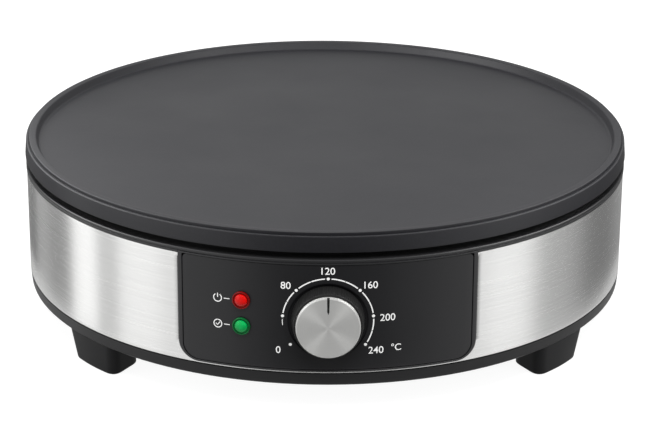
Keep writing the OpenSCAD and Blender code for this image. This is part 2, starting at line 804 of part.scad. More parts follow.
module at_foot(i) { at(FEET[i], foot_mid) children(); }
module at_feet() { for (i = [0:3]) at_foot(i) children(); }

// Rounded outline of a foot at one height, drawn in by an inset on every side but the middle's
module foot_slice(inset, z) {
    half = foot_w / 2 - inset;
    out = foot_out - foot_mid - inset * 0.8;
    for (side = [-1, 1], c = [[out - foot_corner - 1.5, half], [out - foot_d + foot_corner, half - foot_taper]])
        translate([c.x, side * (c.y - foot_corner), z]) cylinder(r = foot_corner, h = eps, $fn = 32);
    translate([out - foot_corner, 0, z]) cylinder(r = foot_corner, h = eps, $fn = 32);
}

module foot(i) color([0.10, 0.10, 0.10]) at_foot(i) difference() {
    hull() {
        foot_slice(0, foot_h - eps);
        foot_slice(foot_draft, pad_proud + 1);
        foot_slice(foot_draft + 0.8, pad_proud);
    }
    rod(pad_r + fit_gap, 0, pad_h);
    rod(foot_head_r + hole_gap, 0, foot_seat_z);
    rod(foot_screw_r + hole_gap, 0, foot_h + 1);
}

module foot_front_left() { foot(0); }
module foot_front_right() { foot(1); }
module foot_rear_left() { foot(3); }
module foot_rear_right() { foot(2); }

module pad(i) color([0.20, 0.20, 0.20]) at_foot(i) rotate_extrude()
    polygon([[0, 0], [pad_r - 0.6, 0], [pad_r, 0.6], [pad_r, pad_h], [0, pad_h]]);

module pad_front_left() { pad(0); }
module pad_front_right() { pad(1); }
module pad_rear_left() { pad(3); }
module pad_rear_right() { pad(2); }

module foot_screws() color([0.70, 0.70, 0.72]) at_feet()
    screw(foot_screw_r, foot_head_r, foot_seat_z, foot_head_h, floor_z + foot_post_h - 2);

// ---- Control panel ----

module control_frame() color([0.15, 0.15, 0.15]) difference() {
    union() {
        difference() {
            intersection() {
                ring(frame_r, frame_in, frame_z - 1, panel_top + 1);
                panel_prism(panel_w / 2, frame_z, panel_top, frame_corner, 0.8);
            }
            panel_cut(fascia_in - shell_gap, window_half, window_z, panel_top - frame_rail, frame_corner - frame_w);
            panel_prism(rear_half, rear_z, rear_top, frame_corner - frame_w, 4);
        }
        intersection() {
            for (side = [-1, 1]) translate([side * ear_x - ear_w / 2, -frame_r, ear_z])
                cube([ear_w, frame_r + ear_y + boss_r, ear_t]);
            rod(frame_in + 1, ear_z, ear_z + ear_t, $fn = 180);
        }
    }
    for (side = [-1, 1]) translate([side * ear_x, ear_y, 0])
        rod(small_screw_r + hole_gap, ear_z - 1, ear_z + ear_t + 1);
}

module frame_screws() color([0.70, 0.70, 0.72]) for (side = [-1, 1]) translate([side * ear_x, ear_y, 0])
    small_screw(ear_z + ear_t, floor_z + 1.5);

module at_lamps(i) {
    rotate([0, 0, -lamp_turn]) translate([0, 0, LAMP_ZS[i]]) rotate([90, 0, 0]) children();
}

module control_fascia() color([0.14, 0.14, 0.14]) difference() {
    union() {
        intersection() {
            ring(fascia_r, fascia_in, window_z - 1, panel_top + 1);
            panel_prism(window_half - panel_gap, window_z + panel_gap, panel_top - frame_rail - panel_gap,
                frame_corner - frame_w - panel_gap, top_corner);
        }
        facing_front(dish_y - dish_floor_t, 0, knob_z) cylinder(r = dish_r - 1.5, h = dish_floor_t);
    }
    facing_front(dish_y, 0, knob_z) cylinder(r = dish_r, h = 10, $fn = 96);
    facing_front(dish_y - dish_floor_t - 1, 0, knob_z) cylinder(r = spindle_r + 1, h = dish_floor_t + 2);
    for (i = [0, 1]) at_lamps(i) rod(lamp_stem_r + fit_gap, fascia_in - 3, fascia_r + 3);
}

// Lamp lens: a domed head over a flange, and a stem through the fascia
module lamp_lens(i) {
    head = fascia_r + seat_gap;
    at_lamps(i) rotate_extrude() polygon([
        [0, lamp_stem_end], [lamp_stem_r, lamp_stem_end], [lamp_stem_r, head], [lamp_d / 2, head],
        [lamp_d / 2, head + 0.5], [lamp_d / 2 - 0.7, head + 1.1], [lamp_d / 2 - 1.3, head + 1],
        for (a = [0:15:90]) [(lamp_d / 2 - 1.4) * cos(a), head + 1 + (lamp_h - 1 - seat_gap) * sin(a)]
    ]);
}

module power_lamp_lens() color([0.80, 0.05, 0.05]) lamp_lens(0);
module ready_lamp_lens() color([0.02, 0.55, 0.20]) lamp_lens(1);

module lamp_body(i) color([0.88, 0.87, 0.84]) at_lamps(i) {
    rod(lamp_body_r, lamp_back, lamp_stem_end - fit_gap);
}

module power_lamp_body() { lamp_body(0); }
module ready_lamp_body() { lamp_body(1); }

module lamp_push_nuts() color([0.72, 0.72, 0.74]) for (i = [0, 1]) at_lamps(i) difference() {
    rod(lamp_nut_r, fascia_in - seat_gap - lamp_nut_t, fascia_in - seat_gap);
    rod(lamp_stem_r + shell_gap, lamp_stem_end - 1, fascia_in + 1);
}

// ---- Knob and thermostat, along their own axis ----

// Shapes drawn upwards from the back of the knob, or from the front of the thermostat body
module at_knob() { facing_front(knob_back, 0, knob_z) children(); }
module at_stat() { facing_front(stat_y, 0, knob_z) children(); }

// Star outline with one point for each rib
module rib_outline() {
    polygon([for (i = [0:2 * ribs - 1]) let (a = 180 * i / ribs, r = grip_r - (i % 2) * rib_depth)
        [r * sin(a), r * cos(a)]]);
}

module knob_grip() color([0.09, 0.09, 0.09]) at_knob() difference() {
    union() {
        linear_extrude(grip_h, scale = knob_front_d / knob_d) rib_outline();
        rod(cap_seat_r - fit_gap, grip_h - 1, grip_h + cap_plug_h);
    }
    difference() {
        rod(grip_r - grip_wall, -1, grip_h - grip_roof);
        rod(hub_r, -2, grip_h);
    }
    difference() {
        rod(spindle_r + run_gap, -1, knob_bore);
        translate([-10, flat_y + run_gap, -2]) cube([20, 20, 20]);
    }
    difference() {
        rod(clip_r, clip_z - fit_gap, clip_z + clip_w + fit_gap);
        rod(hub_r - 1, -2, grip_h);
    }
}

module knob_cap() color([0.80, 0.80, 0.79]) at_knob() difference() {
    rotate_extrude($fn = 96) polygon([
        [0, grip_h + cap_plug_h], [cap_seat_r, grip_h + cap_plug_h], [cap_seat_r, grip_h + shell_gap],
        [cap_r, grip_h + shell_gap], [cap_r, grip_h + cap_h - 0.5], [cap_r - 0.5, grip_h + cap_h],
        [0, grip_h + cap_h]
    ]);
    translate([-pointer_w / 2, pointer_in, grip_h + cap_h - pointer_cut]) cube([pointer_w, cap_r, 1]);
}

module knob_spring_clip() color([0.68, 0.69, 0.71]) at_knob() difference() {
    rod(clip_r - shell_gap, clip_z, clip_z + clip_w);
    rod(hub_r - 1 + shell_gap, clip_z - 1, clip_z + clip_w + 1);
    translate([-1.5, 0, clip_z - 1]) cube([3, 10, clip_w + 2]);
}

module thermostat_spindle() color([0.74, 0.66, 0.42]) at_stat() difference() {
    union() {
        rod(spindle_r, collar_back, spindle_tip);
        rod(collar_r, collar_back, collar_back + collar_t);
    }
    translate([-10, flat_y, spindle_tip - flat_len]) cube([20, 10, flat_len + 1]);
}

module thermostat_follower() color([0.74, 0.66, 0.42]) at_stat()
    rod(follower_r, follower_back, collar_back - follower_free);

module thermostat_body() color([0.86, 0.85, 0.82]) at_stat() difference() {
    translate([-stat_half, -stat_half, -stat_d]) cube([stat_w, stat_w, stat_d]);
    rod(bushing_r + fit_gap, -bushing_in - eps, 1);
    rod(cavity_r, -cavity_end, -bushing_in);
    rod(follower_r + run_gap, follower_back - follower_free, -bushing_in);
    for (side = [-1, 1]) translate([side * stat_screw_x, 0, 0])
        rod(small_screw_r + fit_gap, -stat_screw_in - 1, 1);
}

module thermostat_bushing() color([0.74, 0.66, 0.42]) at_stat() difference() {
    rod(bushing_r, -bushing_in, bracket_t + bushing_out);
    rod(spindle_r + run_gap, -bushing_in - 1, bracket_t + bushing_out + 1);
}

module thermostat_nut() color([0.70, 0.70, 0.72]) at_stat() difference() {
    translate([0, 0, bracket_t]) hex(nut_af, nut_t);
    rod(bushing_r + fit_gap, 0, bracket_t + nut_t + 1);
}

module thermostat_bracket() color([0.76, 0.77, 0.78]) difference() {
    union() {
        translate([-bracket_half, -bracket_y, bracket_foot_z])
            cube([2 * bracket_half, bracket_t, knob_z + stat_half - bracket_foot_z]);
        translate([-bracket_half, -bracket_y, bracket_foot_z])
            cube([2 * bracket_half, bracket_foot_d, bracket_t]);
    }
    at_stat() rod(bushing_r + fit_gap, -1, bracket_t + 1);
    at_stat() for (side = [-1, 1]) translate([side * stat_screw_x, 0, 0])
        rod(small_screw_r + hole_gap, -1, bracket_t + 1);
    for (side = [-1, 1]) translate([side * bracket_hole_x, bracket_hole_y, 0])
        rod(small_screw_r + hole_gap, bracket_foot_z - 1, bracket_foot_z + bracket_t + 1);
}

module thermostat_screws() color([0.70, 0.70, 0.72]) at_stat()
    for (side = [-1, 1]) translate([side * stat_screw_x, 0, 0]) small_screw(bracket_t, -stat_screw_in);

module bracket_screws() color([0.70, 0.70, 0.72])
    for (side = [-1, 1]) translate([side * bracket_hole_x, bracket_hole_y, 0])
        small_screw(bracket_foot_z + bracket_t, floor_z + 1);

module thermostat_blades() color([0.80, 0.70, 0.40]) at_stat()
    for (side = [-1, 1]) translate([side * blade_x - blade_w / 2, blade_rise - blade_t / 2, 0])
        translate([0, 0, -stat_d - blade_len]) cube([blade_w, blade_t, blade_len]);

// ---- Mains side ----

module at_gland() { translate([0, 0, gland_z]) rotate([-90, 0, 0]) children(); }

module cord_gland() color([0.10, 0.10, 0.10]) at_gland() difference() {
    union() {
        rod(flange_r, gland_face, gland_face + flange_t);
        rod(collar_out_r, gland_face, gland_face + gland_out);
        rod(gland_r, gland_end, gland_face + eps);
    }
    rod(gland_bore_r, gland_end - 1, gland_face + gland_out + 1);
}

module gland_nut() color([0.16, 0.16, 0.16]) at_gland() difference() {
    translate([0, 0, gland_nut_face - gland_nut_t]) hex(gland_nut_af, gland_nut_t);
    rod(gland_r + shell_gap, gland_end - 1, band_r);
}

module terminal_block() color([0.90, 0.90, 0.88]) difference() {
    translate([-block_w / 2, block_y - block_d / 2, block_z]) cube([block_w, block_d, block_h]);
    for (x = POLES) {
        translate([x, block_y, pole_z]) rotate([90, 0, 0])
            cylinder(r = pole_r, h = block_d + 2, center = true);
        for (y = [-screw_row, screw_row]) translate([x, block_y + y, 0])
            rod(pole_screw_r + fit_gap, pole_z, block_top + 1);
    }
    for (side = [-1, 1]) translate([side * block_hole_x, block_y, 0])
        rod(small_screw_r + fit_gap, block_z - 1, block_top + 1);
}

module terminal_screws() color([0.80, 0.70, 0.40]) {
    for (x = POLES, y = [-screw_row, screw_row]) translate([x, block_y + y, 0])
        rod(pole_screw_r, pole_z + wire_r + shell_gap, block_top - 0.5);
    for (side = [-1, 1]) translate([side * block_hole_x, block_y, 0])
        small_screw(block_top, pan_z + 1.5);
}

module earth_screw() color([0.80, 0.70, 0.40]) translate([-earth_x, earth_y, 0]) {
    screw(earth_screw_r, earth_head_r, ledge_top - tag_t, small_head_h, earth_tip_z);
    difference() {
        translate([0, 0, shield_top]) hex(earth_nut_af, earth_nut_t);
        rod(earth_screw_r - eps, shield_top - 1, earth_tip_z);
    }
}

// Crimped ends: a barrel on each blade, each element pin and the earth tag, which has a ring as well
module wire_crimps() color([0.82, 0.72, 0.45]) {
    at_stat() for (side = [-1, 1]) translate([side * blade_x, blade_rise, 0])
        rod(crimp_r, -stat_d - blade_len - crimp_len, -stat_d - blade_len);
    at_cold_ends() rod(crimp_r, pin_end_z - crimp_len, pin_end_z);
    translate([-earth_x, earth_y, 0]) difference() {
        union() {
            rod(tag_r, ledge_top - tag_t, ledge_top);
            translate([-crimp_r, 0, ledge_top - tag_t]) cube([2 * crimp_r, tag_reach + 1, tag_t]);
            translate([0, tag_reach, earth_barrel_z]) rotate([-90, 0, 0]) rod(crimp_r, 0, crimp_len);
        }
        rod(earth_screw_r + fit_gap, ledge_z, ledge_top + 1);
    }
}

// ---- Wires and tube inside ----

// Straight run of a wire in a pole of the terminal block, and a little way out of it
function pole_run(x) = [for (out = [-block_d / 2, pole_step, pole_lead])
    [x, block_y - block_d / 2 - out, pole_z]];

// Straight run of a wire into the crimp on a thermostat blade
function blade_run(side) = let (y = stat_d + blade_len + crimp_len + fit_gap - stat_y)
    [for (k = [2, 1, 0]) [side * blade_x, y + k * blade_step, knob_z + blade_rise]];

// Upright run of a wire into the crimp on an element pin
function pin_run(radius) = let (c = cold_end(radius), z = pin_end_z - crimp_len - fit_gap)
    [for (k = [2, 1, 0]) [c.x, c.y, z - k * crimp_run]];

// Run of a wire from under the heat shield up through its hole and into the fuse's lead
function fuse_run(side) = [
    [side * wire_hole_x, fuse_y, ledge_z - 4], [side * wire_hole_x, fuse_y, shield_top + 2],
    [side * (wire_hole_x - 3.5), fuse_y, fuse_z - 1.6], [side * (wire_hole_x - 8), fuse_y, fuse_z],
    [side * (fuse_len / 2 + lead_len + fit_gap), fuse_y, fuse_z]
];

function reversed(p) = [for (i = [len(p) - 1:-1:0]) p[i]];

LIVE_ROUTE = concat(pole_run(2 * pole_pitch), [
    [lane_x - 32, block_y - 42, lane_z], [lane_x, block_y - 94, lane_z],
    [lane_x - 2, 92 - stat_back, lane_z + 5], [lane_x - 30, 50 - stat_back, lane_z + 19]
], blade_run(1));
SWITCHED_ROUTE = concat(reversed(blade_run(-1)), [[10 - wire_hole_x, fuse_y - 24, ledge_z - 11]],
    fuse_run(-1));
FUSE_ROUTE = concat(reversed(fuse_run(1)), [
    [wire_hole_x, fuse_y + 32, ledge_z - 24], [wire_hole_x / 2, element_in_r - 36, lane_z + 8]
], pin_run(element_in_r));
NEUTRAL_ROUTE = concat(pole_run(0), [[-pole_pitch, block_y - 36, lane_z + 6]],
    pin_run(element_out_r));
EARTH_ROUTE = concat(pole_run(-2 * pole_pitch), [
    [-2 * pole_pitch - 16, block_y - 28, lane_z + 19], [-earth_x, earth_y + 40, ledge_z - 10],
    [-earth_x, earth_y + 26, earth_barrel_z],
    [-earth_x, earth_y + tag_reach + crimp_len + fit_gap, earth_barrel_z]
]);
CAPILLARY_ROUTE = [
    [0, stat_d - stat_y, knob_z - 8], [0, stat_d - stat_y + 10, knob_z - 8],
    [14, 34 - stat_back, knob_z - 9], [capillary_x - 10, capillary_y - 38, knob_z - 5],
    [capillary_x, capillary_y, ledge_z - 10], [capillary_x, capillary_y, shield_top + 1],
    [capillary_x, capillary_y + 6, bulb_z - 2], [capillary_x - 3, -1, bulb_z], [bulb_len / 2, 0, bulb_z]
];

module live_wire() color([0.45, 0.25, 0.12]) wire(LIVE_ROUTE, wire_r);
module switched_wire() color([0.45, 0.25, 0.12]) wire(SWITCHED_ROUTE, wire_r);
module fuse_wire() color([0.80, 0.80, 0.78]) wire(FUSE_ROUTE, wire_r);
module neutral_wire() color([0.15, 0.30, 0.70]) wire(NEUTRAL_ROUTE, wire_r);
module earth_wire() color([0.35, 0.65, 0.20]) wire(EARTH_ROUTE, wire_r);
module capillary_tube() color([0.72, 0.45, 0.30]) wire(CAPILLARY_ROUTE, capillary_r);

// Two thin wires from the back of each lamp to the two poles that feed the lamps
module lamp_wires() color([0.70, 0.20, 0.15]) for (lamp = [0, 1], pole = [-1, 1]) let (
    back = [-lamp_back * sin(lamp_turn), -lamp_back * cos(lamp_turn), LAMP_ZS[lamp]],
    inward = [sin(lamp_turn), cos(lamp_turn), 0],
    across = [cos(lamp_turn), -sin(lamp_turn), 0] * 2 * pole,
    lane = 3 * lamp + 6 * pole,
    in_bore = [0.95 * (lamp == 0 ? -1 : 1), 0, 0],
    run = pole_run(pole * pole_pitch)
) wire(concat(
    [back + across + fit_gap * inward, back + across + 8 * inward],
    [[lane - lamp_lane_x + 14, 30 - stat_back, lamp_lane_z + 14 - 6 * lamp],
        [lane - lamp_lane_x, 82 - stat_back, lamp_lane_z], [lane - lamp_lane_x, block_y - 114, lamp_lane_z],
        [lane - lamp_lane_x + 28, block_y - 60, lamp_lane_z - 1]],
    [run[2] + 2.2 * in_bore, run[1] + in_bore, run[0] + in_bore]
), thin_wire_r, 4, 6);

cooking_plate();
upper_ring();
steel_band();
band_seam_strip();
seam_rivets();
base_pan();
foot_front_left();
foot_front_right();
foot_rear_left();
foot_rear_right();
pad_front_left();
pad_front_right();
pad_rear_left();
pad_rear_right();
foot_screws();
base_screws();
control_frame();
control_fascia();
frame_screws();
knob_grip();
knob_cap();
knob_spring_clip();
thermostat_spindle();
thermostat_follower();
thermostat_body();
thermostat_bushing();
thermostat_nut();
thermostat_bracket();
thermostat_screws();
bracket_screws();
thermostat_blades();
capillary_tube();
sensor_bulb();
bulb_clip();
power_lamp_lens();
ready_lamp_lens();
power_lamp_body();
ready_lamp_body();
lamp_push_nuts();
heating_element();
element_terminals();
element_clamps();
clamp_screws();
heat_shield();
plate_spacers();
plate_screws();
thermal_fuse();
fuse_clip();
cord_gland();
gland_nut();
terminal_block();
terminal_screws();
earth_screw();
wire_crimps();
live_wire();
switched_wire();
fuse_wire();
neutral_wire();
earth_wire();
lamp_wires();
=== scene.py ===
# Looks of a round electric crepe maker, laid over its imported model.
# All sizes are in metres in the model's own frame: +Z is up, the control panel faces -Y, and the
# origin is on the plate's axis, level with the bottoms of the foot pads.
import json
import math

import bmesh
import bpy
import numpy as np
from bpy.props import FloatProperty, FloatVectorProperty, IntProperty, PointerProperty
from mathutils import Matrix, Vector


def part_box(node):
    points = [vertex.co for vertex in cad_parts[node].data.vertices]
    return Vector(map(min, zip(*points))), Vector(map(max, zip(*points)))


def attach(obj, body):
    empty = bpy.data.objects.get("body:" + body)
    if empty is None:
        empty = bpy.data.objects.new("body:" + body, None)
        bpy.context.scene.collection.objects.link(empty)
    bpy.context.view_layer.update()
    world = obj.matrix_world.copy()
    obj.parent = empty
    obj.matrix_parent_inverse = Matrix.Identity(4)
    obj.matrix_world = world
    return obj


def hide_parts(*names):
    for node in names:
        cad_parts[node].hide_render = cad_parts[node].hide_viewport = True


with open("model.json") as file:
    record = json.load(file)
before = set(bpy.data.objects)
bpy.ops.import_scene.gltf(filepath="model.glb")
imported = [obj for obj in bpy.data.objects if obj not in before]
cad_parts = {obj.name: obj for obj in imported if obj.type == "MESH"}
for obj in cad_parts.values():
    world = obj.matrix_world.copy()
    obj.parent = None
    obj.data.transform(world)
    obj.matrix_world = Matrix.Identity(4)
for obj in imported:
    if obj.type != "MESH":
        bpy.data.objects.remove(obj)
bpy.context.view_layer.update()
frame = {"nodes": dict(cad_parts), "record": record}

bl_info = {
    "name": "Crepe maker looks",
    "version": (1, 0, 0),
    "blender": (4, 5, 0),
    "location": "3D View > Sidebar > Crepe maker",
    "description": "Surfaces, finishes and studio of a round electric crepe maker",
    "category": "Object",
}

MM = 0.001
TURN = 2 * math.pi
MERGE = 0.002 * MM  # points of a piece that are nearer to each other than this are one
SMOOTH = 32.0  # edges that bend by more degrees than this stay sharp


def length(name, description, mm):
    """A length, written in millimetres and kept in metres."""
    return FloatProperty(
        name=name, description=description, default=mm * MM, min=0.0, precision=5,
        unit="LENGTH", subtype="DISTANCE",
    )


def angle(name, description, degrees):
    """An angle, written in degrees and kept in radians."""
    return FloatProperty(
        name=name, description=description, default=math.radians(degrees), unit="ROTATION",
        subtype="ANGLE",
    )


def number(name, description, value):
    """A plain number with no unit."""
    return FloatProperty(name=name, description=description, default=value, min=0.0)


def colour(name, description, value):
    """A colour in linear light."""
    return FloatVectorProperty(
        name=name, description=description, default=value, size=3, min=0.0, max=1.0,
        subtype="COLOR",
    )


# ---- Sizes and colours that a user would change ----


class PlateSizes(bpy.types.PropertyGroup):
    """Cooking plate."""

    radius: length("Radius", "Widest radius of the plate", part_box("cooking_plate")[1].x / MM)
    top: length("Rim top", "Height of the rim's top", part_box("cooking_plate")[1].z / MM)
    rim_rise: length("Rim rise", "Height of the rim over the cooking surface", 4.3)
    rim_inset: length("Rim inset", "Distance of the rim's outer wall from the widest radius", 2.3)
    rim_width: length("Rim width", "Width of the rim, from its outer to its inner wall", 3.8)
    step: length("Step", "Height of the rim over the skirt's shoulder", 1.5)
    slope: length("Slope", "Width of the rim's sloping inner wall", 1.5)
    lean: length("Lean", "Draw-in of the skirt's face, from its lower end up to its shoulder", 0.7)
    thickness: length("Thickness", "Thickness under the cooking surface", 5.8)
    skirt: length("Skirt", "Height of the skirt's lower edge under the rim's top", 10.0)
    land: length("Lands", "Height of the cast rings that hold the heating element", 4.0)


class BandSizes(bpy.types.PropertyGroup):
    """Steel band round the housing."""

    radius: length("Radius", "Outer radius of the band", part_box("steel_band")[1].x / MM)
    low: length("Lower edge", "Height of the lower edge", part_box("steel_band")[0].z / MM + 0.5)
    high: length("Upper edge", "Height of the upper edge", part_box("steel_band")[1].z / MM)
    sheet: length("Sheet", "Thickness of the sheet", 0.8)
    edge: length("Edge rounding", "Rounding of the sheet's edges", 0.3)
    seam: angle("Seam", "Angle of the seam at the back, from +X", 70.0)
    seam_gap: length("Seam gap", "Gap between the band's ends", 0.6)


class PanelSizes(bpy.types.PropertyGroup):
    """Control panel: a frame and a fascia on one cylinder round the plate's axis."""

    frame_radius: length("Frame radius", "Radius of the frame's face", 165.0)
    frame_depth: length("Frame depth", "Depth of the frame", 5.2)
    half_width: length("Half width", "Half of the frame's width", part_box("control_frame")[1].x / MM)
    low: length("Lower edge", "Height of its lower edge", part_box("control_frame")[0].z / MM)
    high: length("Upper edge", "Height of its upper edge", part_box("control_frame")[1].z / MM)
    border: length("Border", "Width of the frame's border at the sides", 2.0)
    sill: length("Sill", "Width of the frame along its lower edge", 0.9)
    rail: length("Top rail", "Width of the frame along its upper edge", 0.8)
    seat: length("Seat", "Height of the shell behind the fascia's lower edge", 7.6)
    corner: length("Corner", "Radius of the frame's lower corners", 10.0)
    edge: length("Edge rounding", "Rounding of the edges of frame and fascia", 0.28)
    fascia_radius: length("Fascia radius", "Radius of the fascia's face", 164.6)
    fascia_sheet: length("Fascia thickness", "Thickness of the fascia", 2.7)
    gap: length("Gap", "Gap between frame and fascia", 0.2)
    dish: length("Dish", "Radius of the round dish behind the knob", 20.0)
    dish_floor: length("Dish floor", "Distance of the dish's floor from the plate's axis", 162.6)


class KnobSizes(bpy.types.PropertyGroup):
    """Knob, along an axis from front to back."""

    axis: length("Axis", "Height of the knob's axis", 52.8)
    back: length("Back", "Distance of the knob's back from the plate's axis", 163.0)
    radius: length("Radius", "Radius of the grip at its back", 18.6)
    front: length("Front radius", "Radius of the grip at its front", 17.3)
    depth: length("Length", "Length of the grip", 8.6)
    ribs: IntProperty(name="Ribs", description="Number of ribs round the grip", default=90, min=12)
    rib_depth: length("Rib depth", "Depth of the ribs", 0.35)
    cap: length("Cap radius", "Radius of the metal cap", 16.15)
    cap_height: length("Cap height", "Height of the cap's face over the grip", 2.065)
    chamfer: length("Chamfer", "Width of the cap's bright chamfer", 0.55)
    pointer: length("Pointer", "Width of the pointer line", 1.25)
    pointer_end: length("Pointer end", "Distance of the pointer's inner end from the axis", 7.6)


class LampSizes(bpy.types.PropertyGroup):
    """Pilot lamps, square to the curved fascia."""

    across: length("Distance", "Distance from the panel's middle, along its curve", 43.6)
    power: length("Power lamp", "Height of the upper lamp", 62.0)
    ready: length("Ready lamp", "Height of the lower lamp", 48.0)
    flange: length("Flange", "Radius of a lamp's flange", 4.7)
    dome: length("Dome", "Radius of a lamp's dome", 3.3)
    rise: length("Rise", "Height of the dome's top over the fascia", 2.6)
    seat: length("Seat", "Gap between flange and fascia at the lamp's middle", 0.3)
    stem: length("Stem", "Radius of the stem in the fascia", 3.9)
    stem_length: length("Stem length", "Length of the stem behind the fascia's face", 5.9)


class DialSizes(bpy.types.PropertyGroup):
    """Printing on the fascia."""

    circle: length("Circle", "Radius of the ring of marks round the knob's axis", 22.8)
    dot: length("Dot", "Radius of a mark", 0.78)
    line: length("Line", "Width of the arcs between the marks", 0.62)
    figure: length("Figure height", "Height of the figures", 3.75)
    sign: length("Sign", "Radius of the signs beside the lamps", 2.1)
    stroke: length("Stroke", "Width of the signs' lines", 0.5)
    ink: length("Ink", "Height of the printing over the fascia", 0.03)


class FootSizes(bpy.types.PropertyGroup):
    """Feet under the base pan."""

    top: length("Top", "Height of a foot's top", 17.5)
    low: length("Bottom", "Height of a foot's bottom over the worktop", 0.5)
    ring: length("Ring", "Distance of a foot's screw from the plate's axis", 149.0)
    outward: length("Outward", "Reach of a foot from its screw outwards", 14.5)
    inward: length("Inward", "Reach of a foot from its screw inwards", 9.5)
    half_width: length("Half width", "Half of a foot's width at its top", 21.0)
    taper: length("Taper", "Draw-in of the sides on the way towards the middle", 8.0)
    bulge: length("Bulge", "Bulge of the outer face", 1.5)
    corner: length("Corner", "Radius of the upright corners", 7.0)
    draft: length("Draft", "Draw-in of the sides on the way down", 2.5)
    foot_edge: length("Lower edge", "Rounding of the lower edge", 1.1)
    pad: length("Pad recess", "Radius of the recess for the rubber pad", 8.15)
    pad_depth: length("Pad depth", "Height of the recess's roof", 3.0)
    angle: angle("Angle", "Angle of each foot from the front or back middle", 50.0)


class GlandSizes(bpy.types.PropertyGroup):
    """Cord gland at the back."""

    axis: length("Axis", "Height of the gland's axis", 44.0)
    face: length("Seat", "Distance of the flange's seat from the plate's axis", 164.5)
    inner: length("Inner end", "Distance of the gland's inner end from the plate's axis", 152.0)
    outer: length("Outer end", "Distance of the gland's outer end from the plate's axis", 170.5)
    bore: length("Bore", "Radius of the bore", 3.8)
    barrel: length("Barrel", "Radius of the barrel through the band", 6.4)
    collar: length("Collar", "Radius of the collar outside", 7.5)
    flange: length("Flange", "Radius of the flange", 10.0)
    flange_sheet: length("Flange thickness", "Thickness of the flange", 2.0)


class FinishColours(bpy.types.PropertyGroup):
    """Colours of the finishes that show."""

    coating: colour("Coating", "Non-stick coating of the plate", (0.0095, 0.0095, 0.0115))
    steel: colour("Steel", "Brushed steel band", (0.86, 0.86, 0.85))
    lip: colour("Lip", "Black plastic of the upper ring", (0.018, 0.018, 0.019))
    base: colour("Base", "Black plastic of the base pan", (0.008, 0.008, 0.0085))
    foot: colour("Feet", "Black plastic of the feet", (0.006, 0.006, 0.0065))
    border: colour("Frame", "Black plastic of the panel's frame", (0.016, 0.016, 0.017))
    fascia: colour("Fascia", "Black plastic of the fascia", (0.009, 0.009, 0.010))
    grip: colour("Grip", "Black plastic of the knob", (0.012, 0.012, 0.012))
    cap: colour("Cap", "Spun metal of the knob's cap", (0.90, 0.90, 0.88))
    ink: colour("Ink", "Printing on the fascia", (0.86, 0.86, 0.85))
    red: colour("Red lens", "Lens of the power lamp", (0.50, 0.002, 0.001))
    green: colour("Green lens", "Lens of the ready lamp", (0.0005, 0.30, 0.065))


class StudioSettings(bpy.types.PropertyGroup):
    """Camera, floor and lights."""

    lens: number("Lens", "Focal length in millimetres on a sensor 36 mm wide", 135.62)
    distance: length("Distance", "Distance of the camera from the point it looks at", 1371.8)
    aim: length("Aim", "Height of the point that the camera looks at", 45.65)
    elevation: angle("Elevation", "Elevation of the camera", 20.92)
    azimuth: angle("Azimuth", "Turn of the camera round the object", -0.65)
    roll: angle("Roll", "Roll of the camera about its view", 0.28)
    floor: length("Floor", "Radius of the floor", 3000.0)
    floor_tone: number("Floor tone", "Share of light that the floor gives back", 0.24)
    floor_glow: number("Floor glow", "Brightness that the camera sees, less the floor's own", 0.93)
    curtain: length("Curtain", "Radius of the curtain that the gloss reflects", 200.0)
    curtain_height: length("Curtain height", "Height of the curtain", 520.0)
    curtain_low: length("Curtain's lower part", "Height where the upper part starts", 110.0)
    world: number("World", "Strength of the even light from all round", 0.55)


# ---- Geometry ----


def grid(points, close_rows=False, close_columns=False, uv=None):
    """A sheet of quads on points[row, column, 3]. A closed direction joins its last line to its
    first, and has one more row or column of uv."""
    points = np.asarray(points, float)
    rows, columns = points.shape[:2]
    i = np.arange(rows if close_rows else rows - 1)[:, None]
    j = np.arange(columns if close_columns else columns - 1)[None, :]
    row, below, right = i * columns, (i + 1) % rows * columns, (j + 1) % columns
    faces = np.stack([row + j, row + right, below + right, below + j], -1).reshape(-1, 4)
    corners = np.zeros((len(faces), 4, 2))
    if uv is not None:
        corners = np.stack([uv[i, j], uv[i, j + 1], uv[i + 1, j + 1], uv[i + 1, j]], 2)
        corners = corners.reshape(-1, 4, 2)
    return points.reshape(-1, 3), faces, corners


def mesh_of(name, sheets):
    """One mesh from sheets of quads."""
    starts = np.cumsum([0] + [len(points) for points, _, _ in sheets])
    points = np.concatenate([s[0] for s in sheets])
    faces = np.concatenate([s[1] + start for s, start in zip(sheets, starts)])
    corners = np.concatenate([s[2] for s in sheets])
    mesh = bpy.data.meshes.new(name)
    mesh.vertices.add(len(points))
    mesh.vertices.foreach_set("co", points.astype(np.float32).ravel())
    mesh.loops.add(faces.size)
    mesh.loops.foreach_set("vertex_index", faces.astype(np.int32).ravel())
    mesh.polygons.add(len(faces))
    mesh.polygons.foreach_set("loop_start", np.arange(0, faces.size, 4, dtype=np.int32))
    mesh.update(calc_edges=True)
    mesh.uv_layers.new(name="UVMap").data.foreach_set("uv", corners.astype(np.float32).ravel())
    return mesh


def build(name, sheets, slot, replaces=(), **rest):
    """One piece from sheets of quads."""
    return finish_piece(name, mesh_of(name, sheets), slot, replaces, **rest)


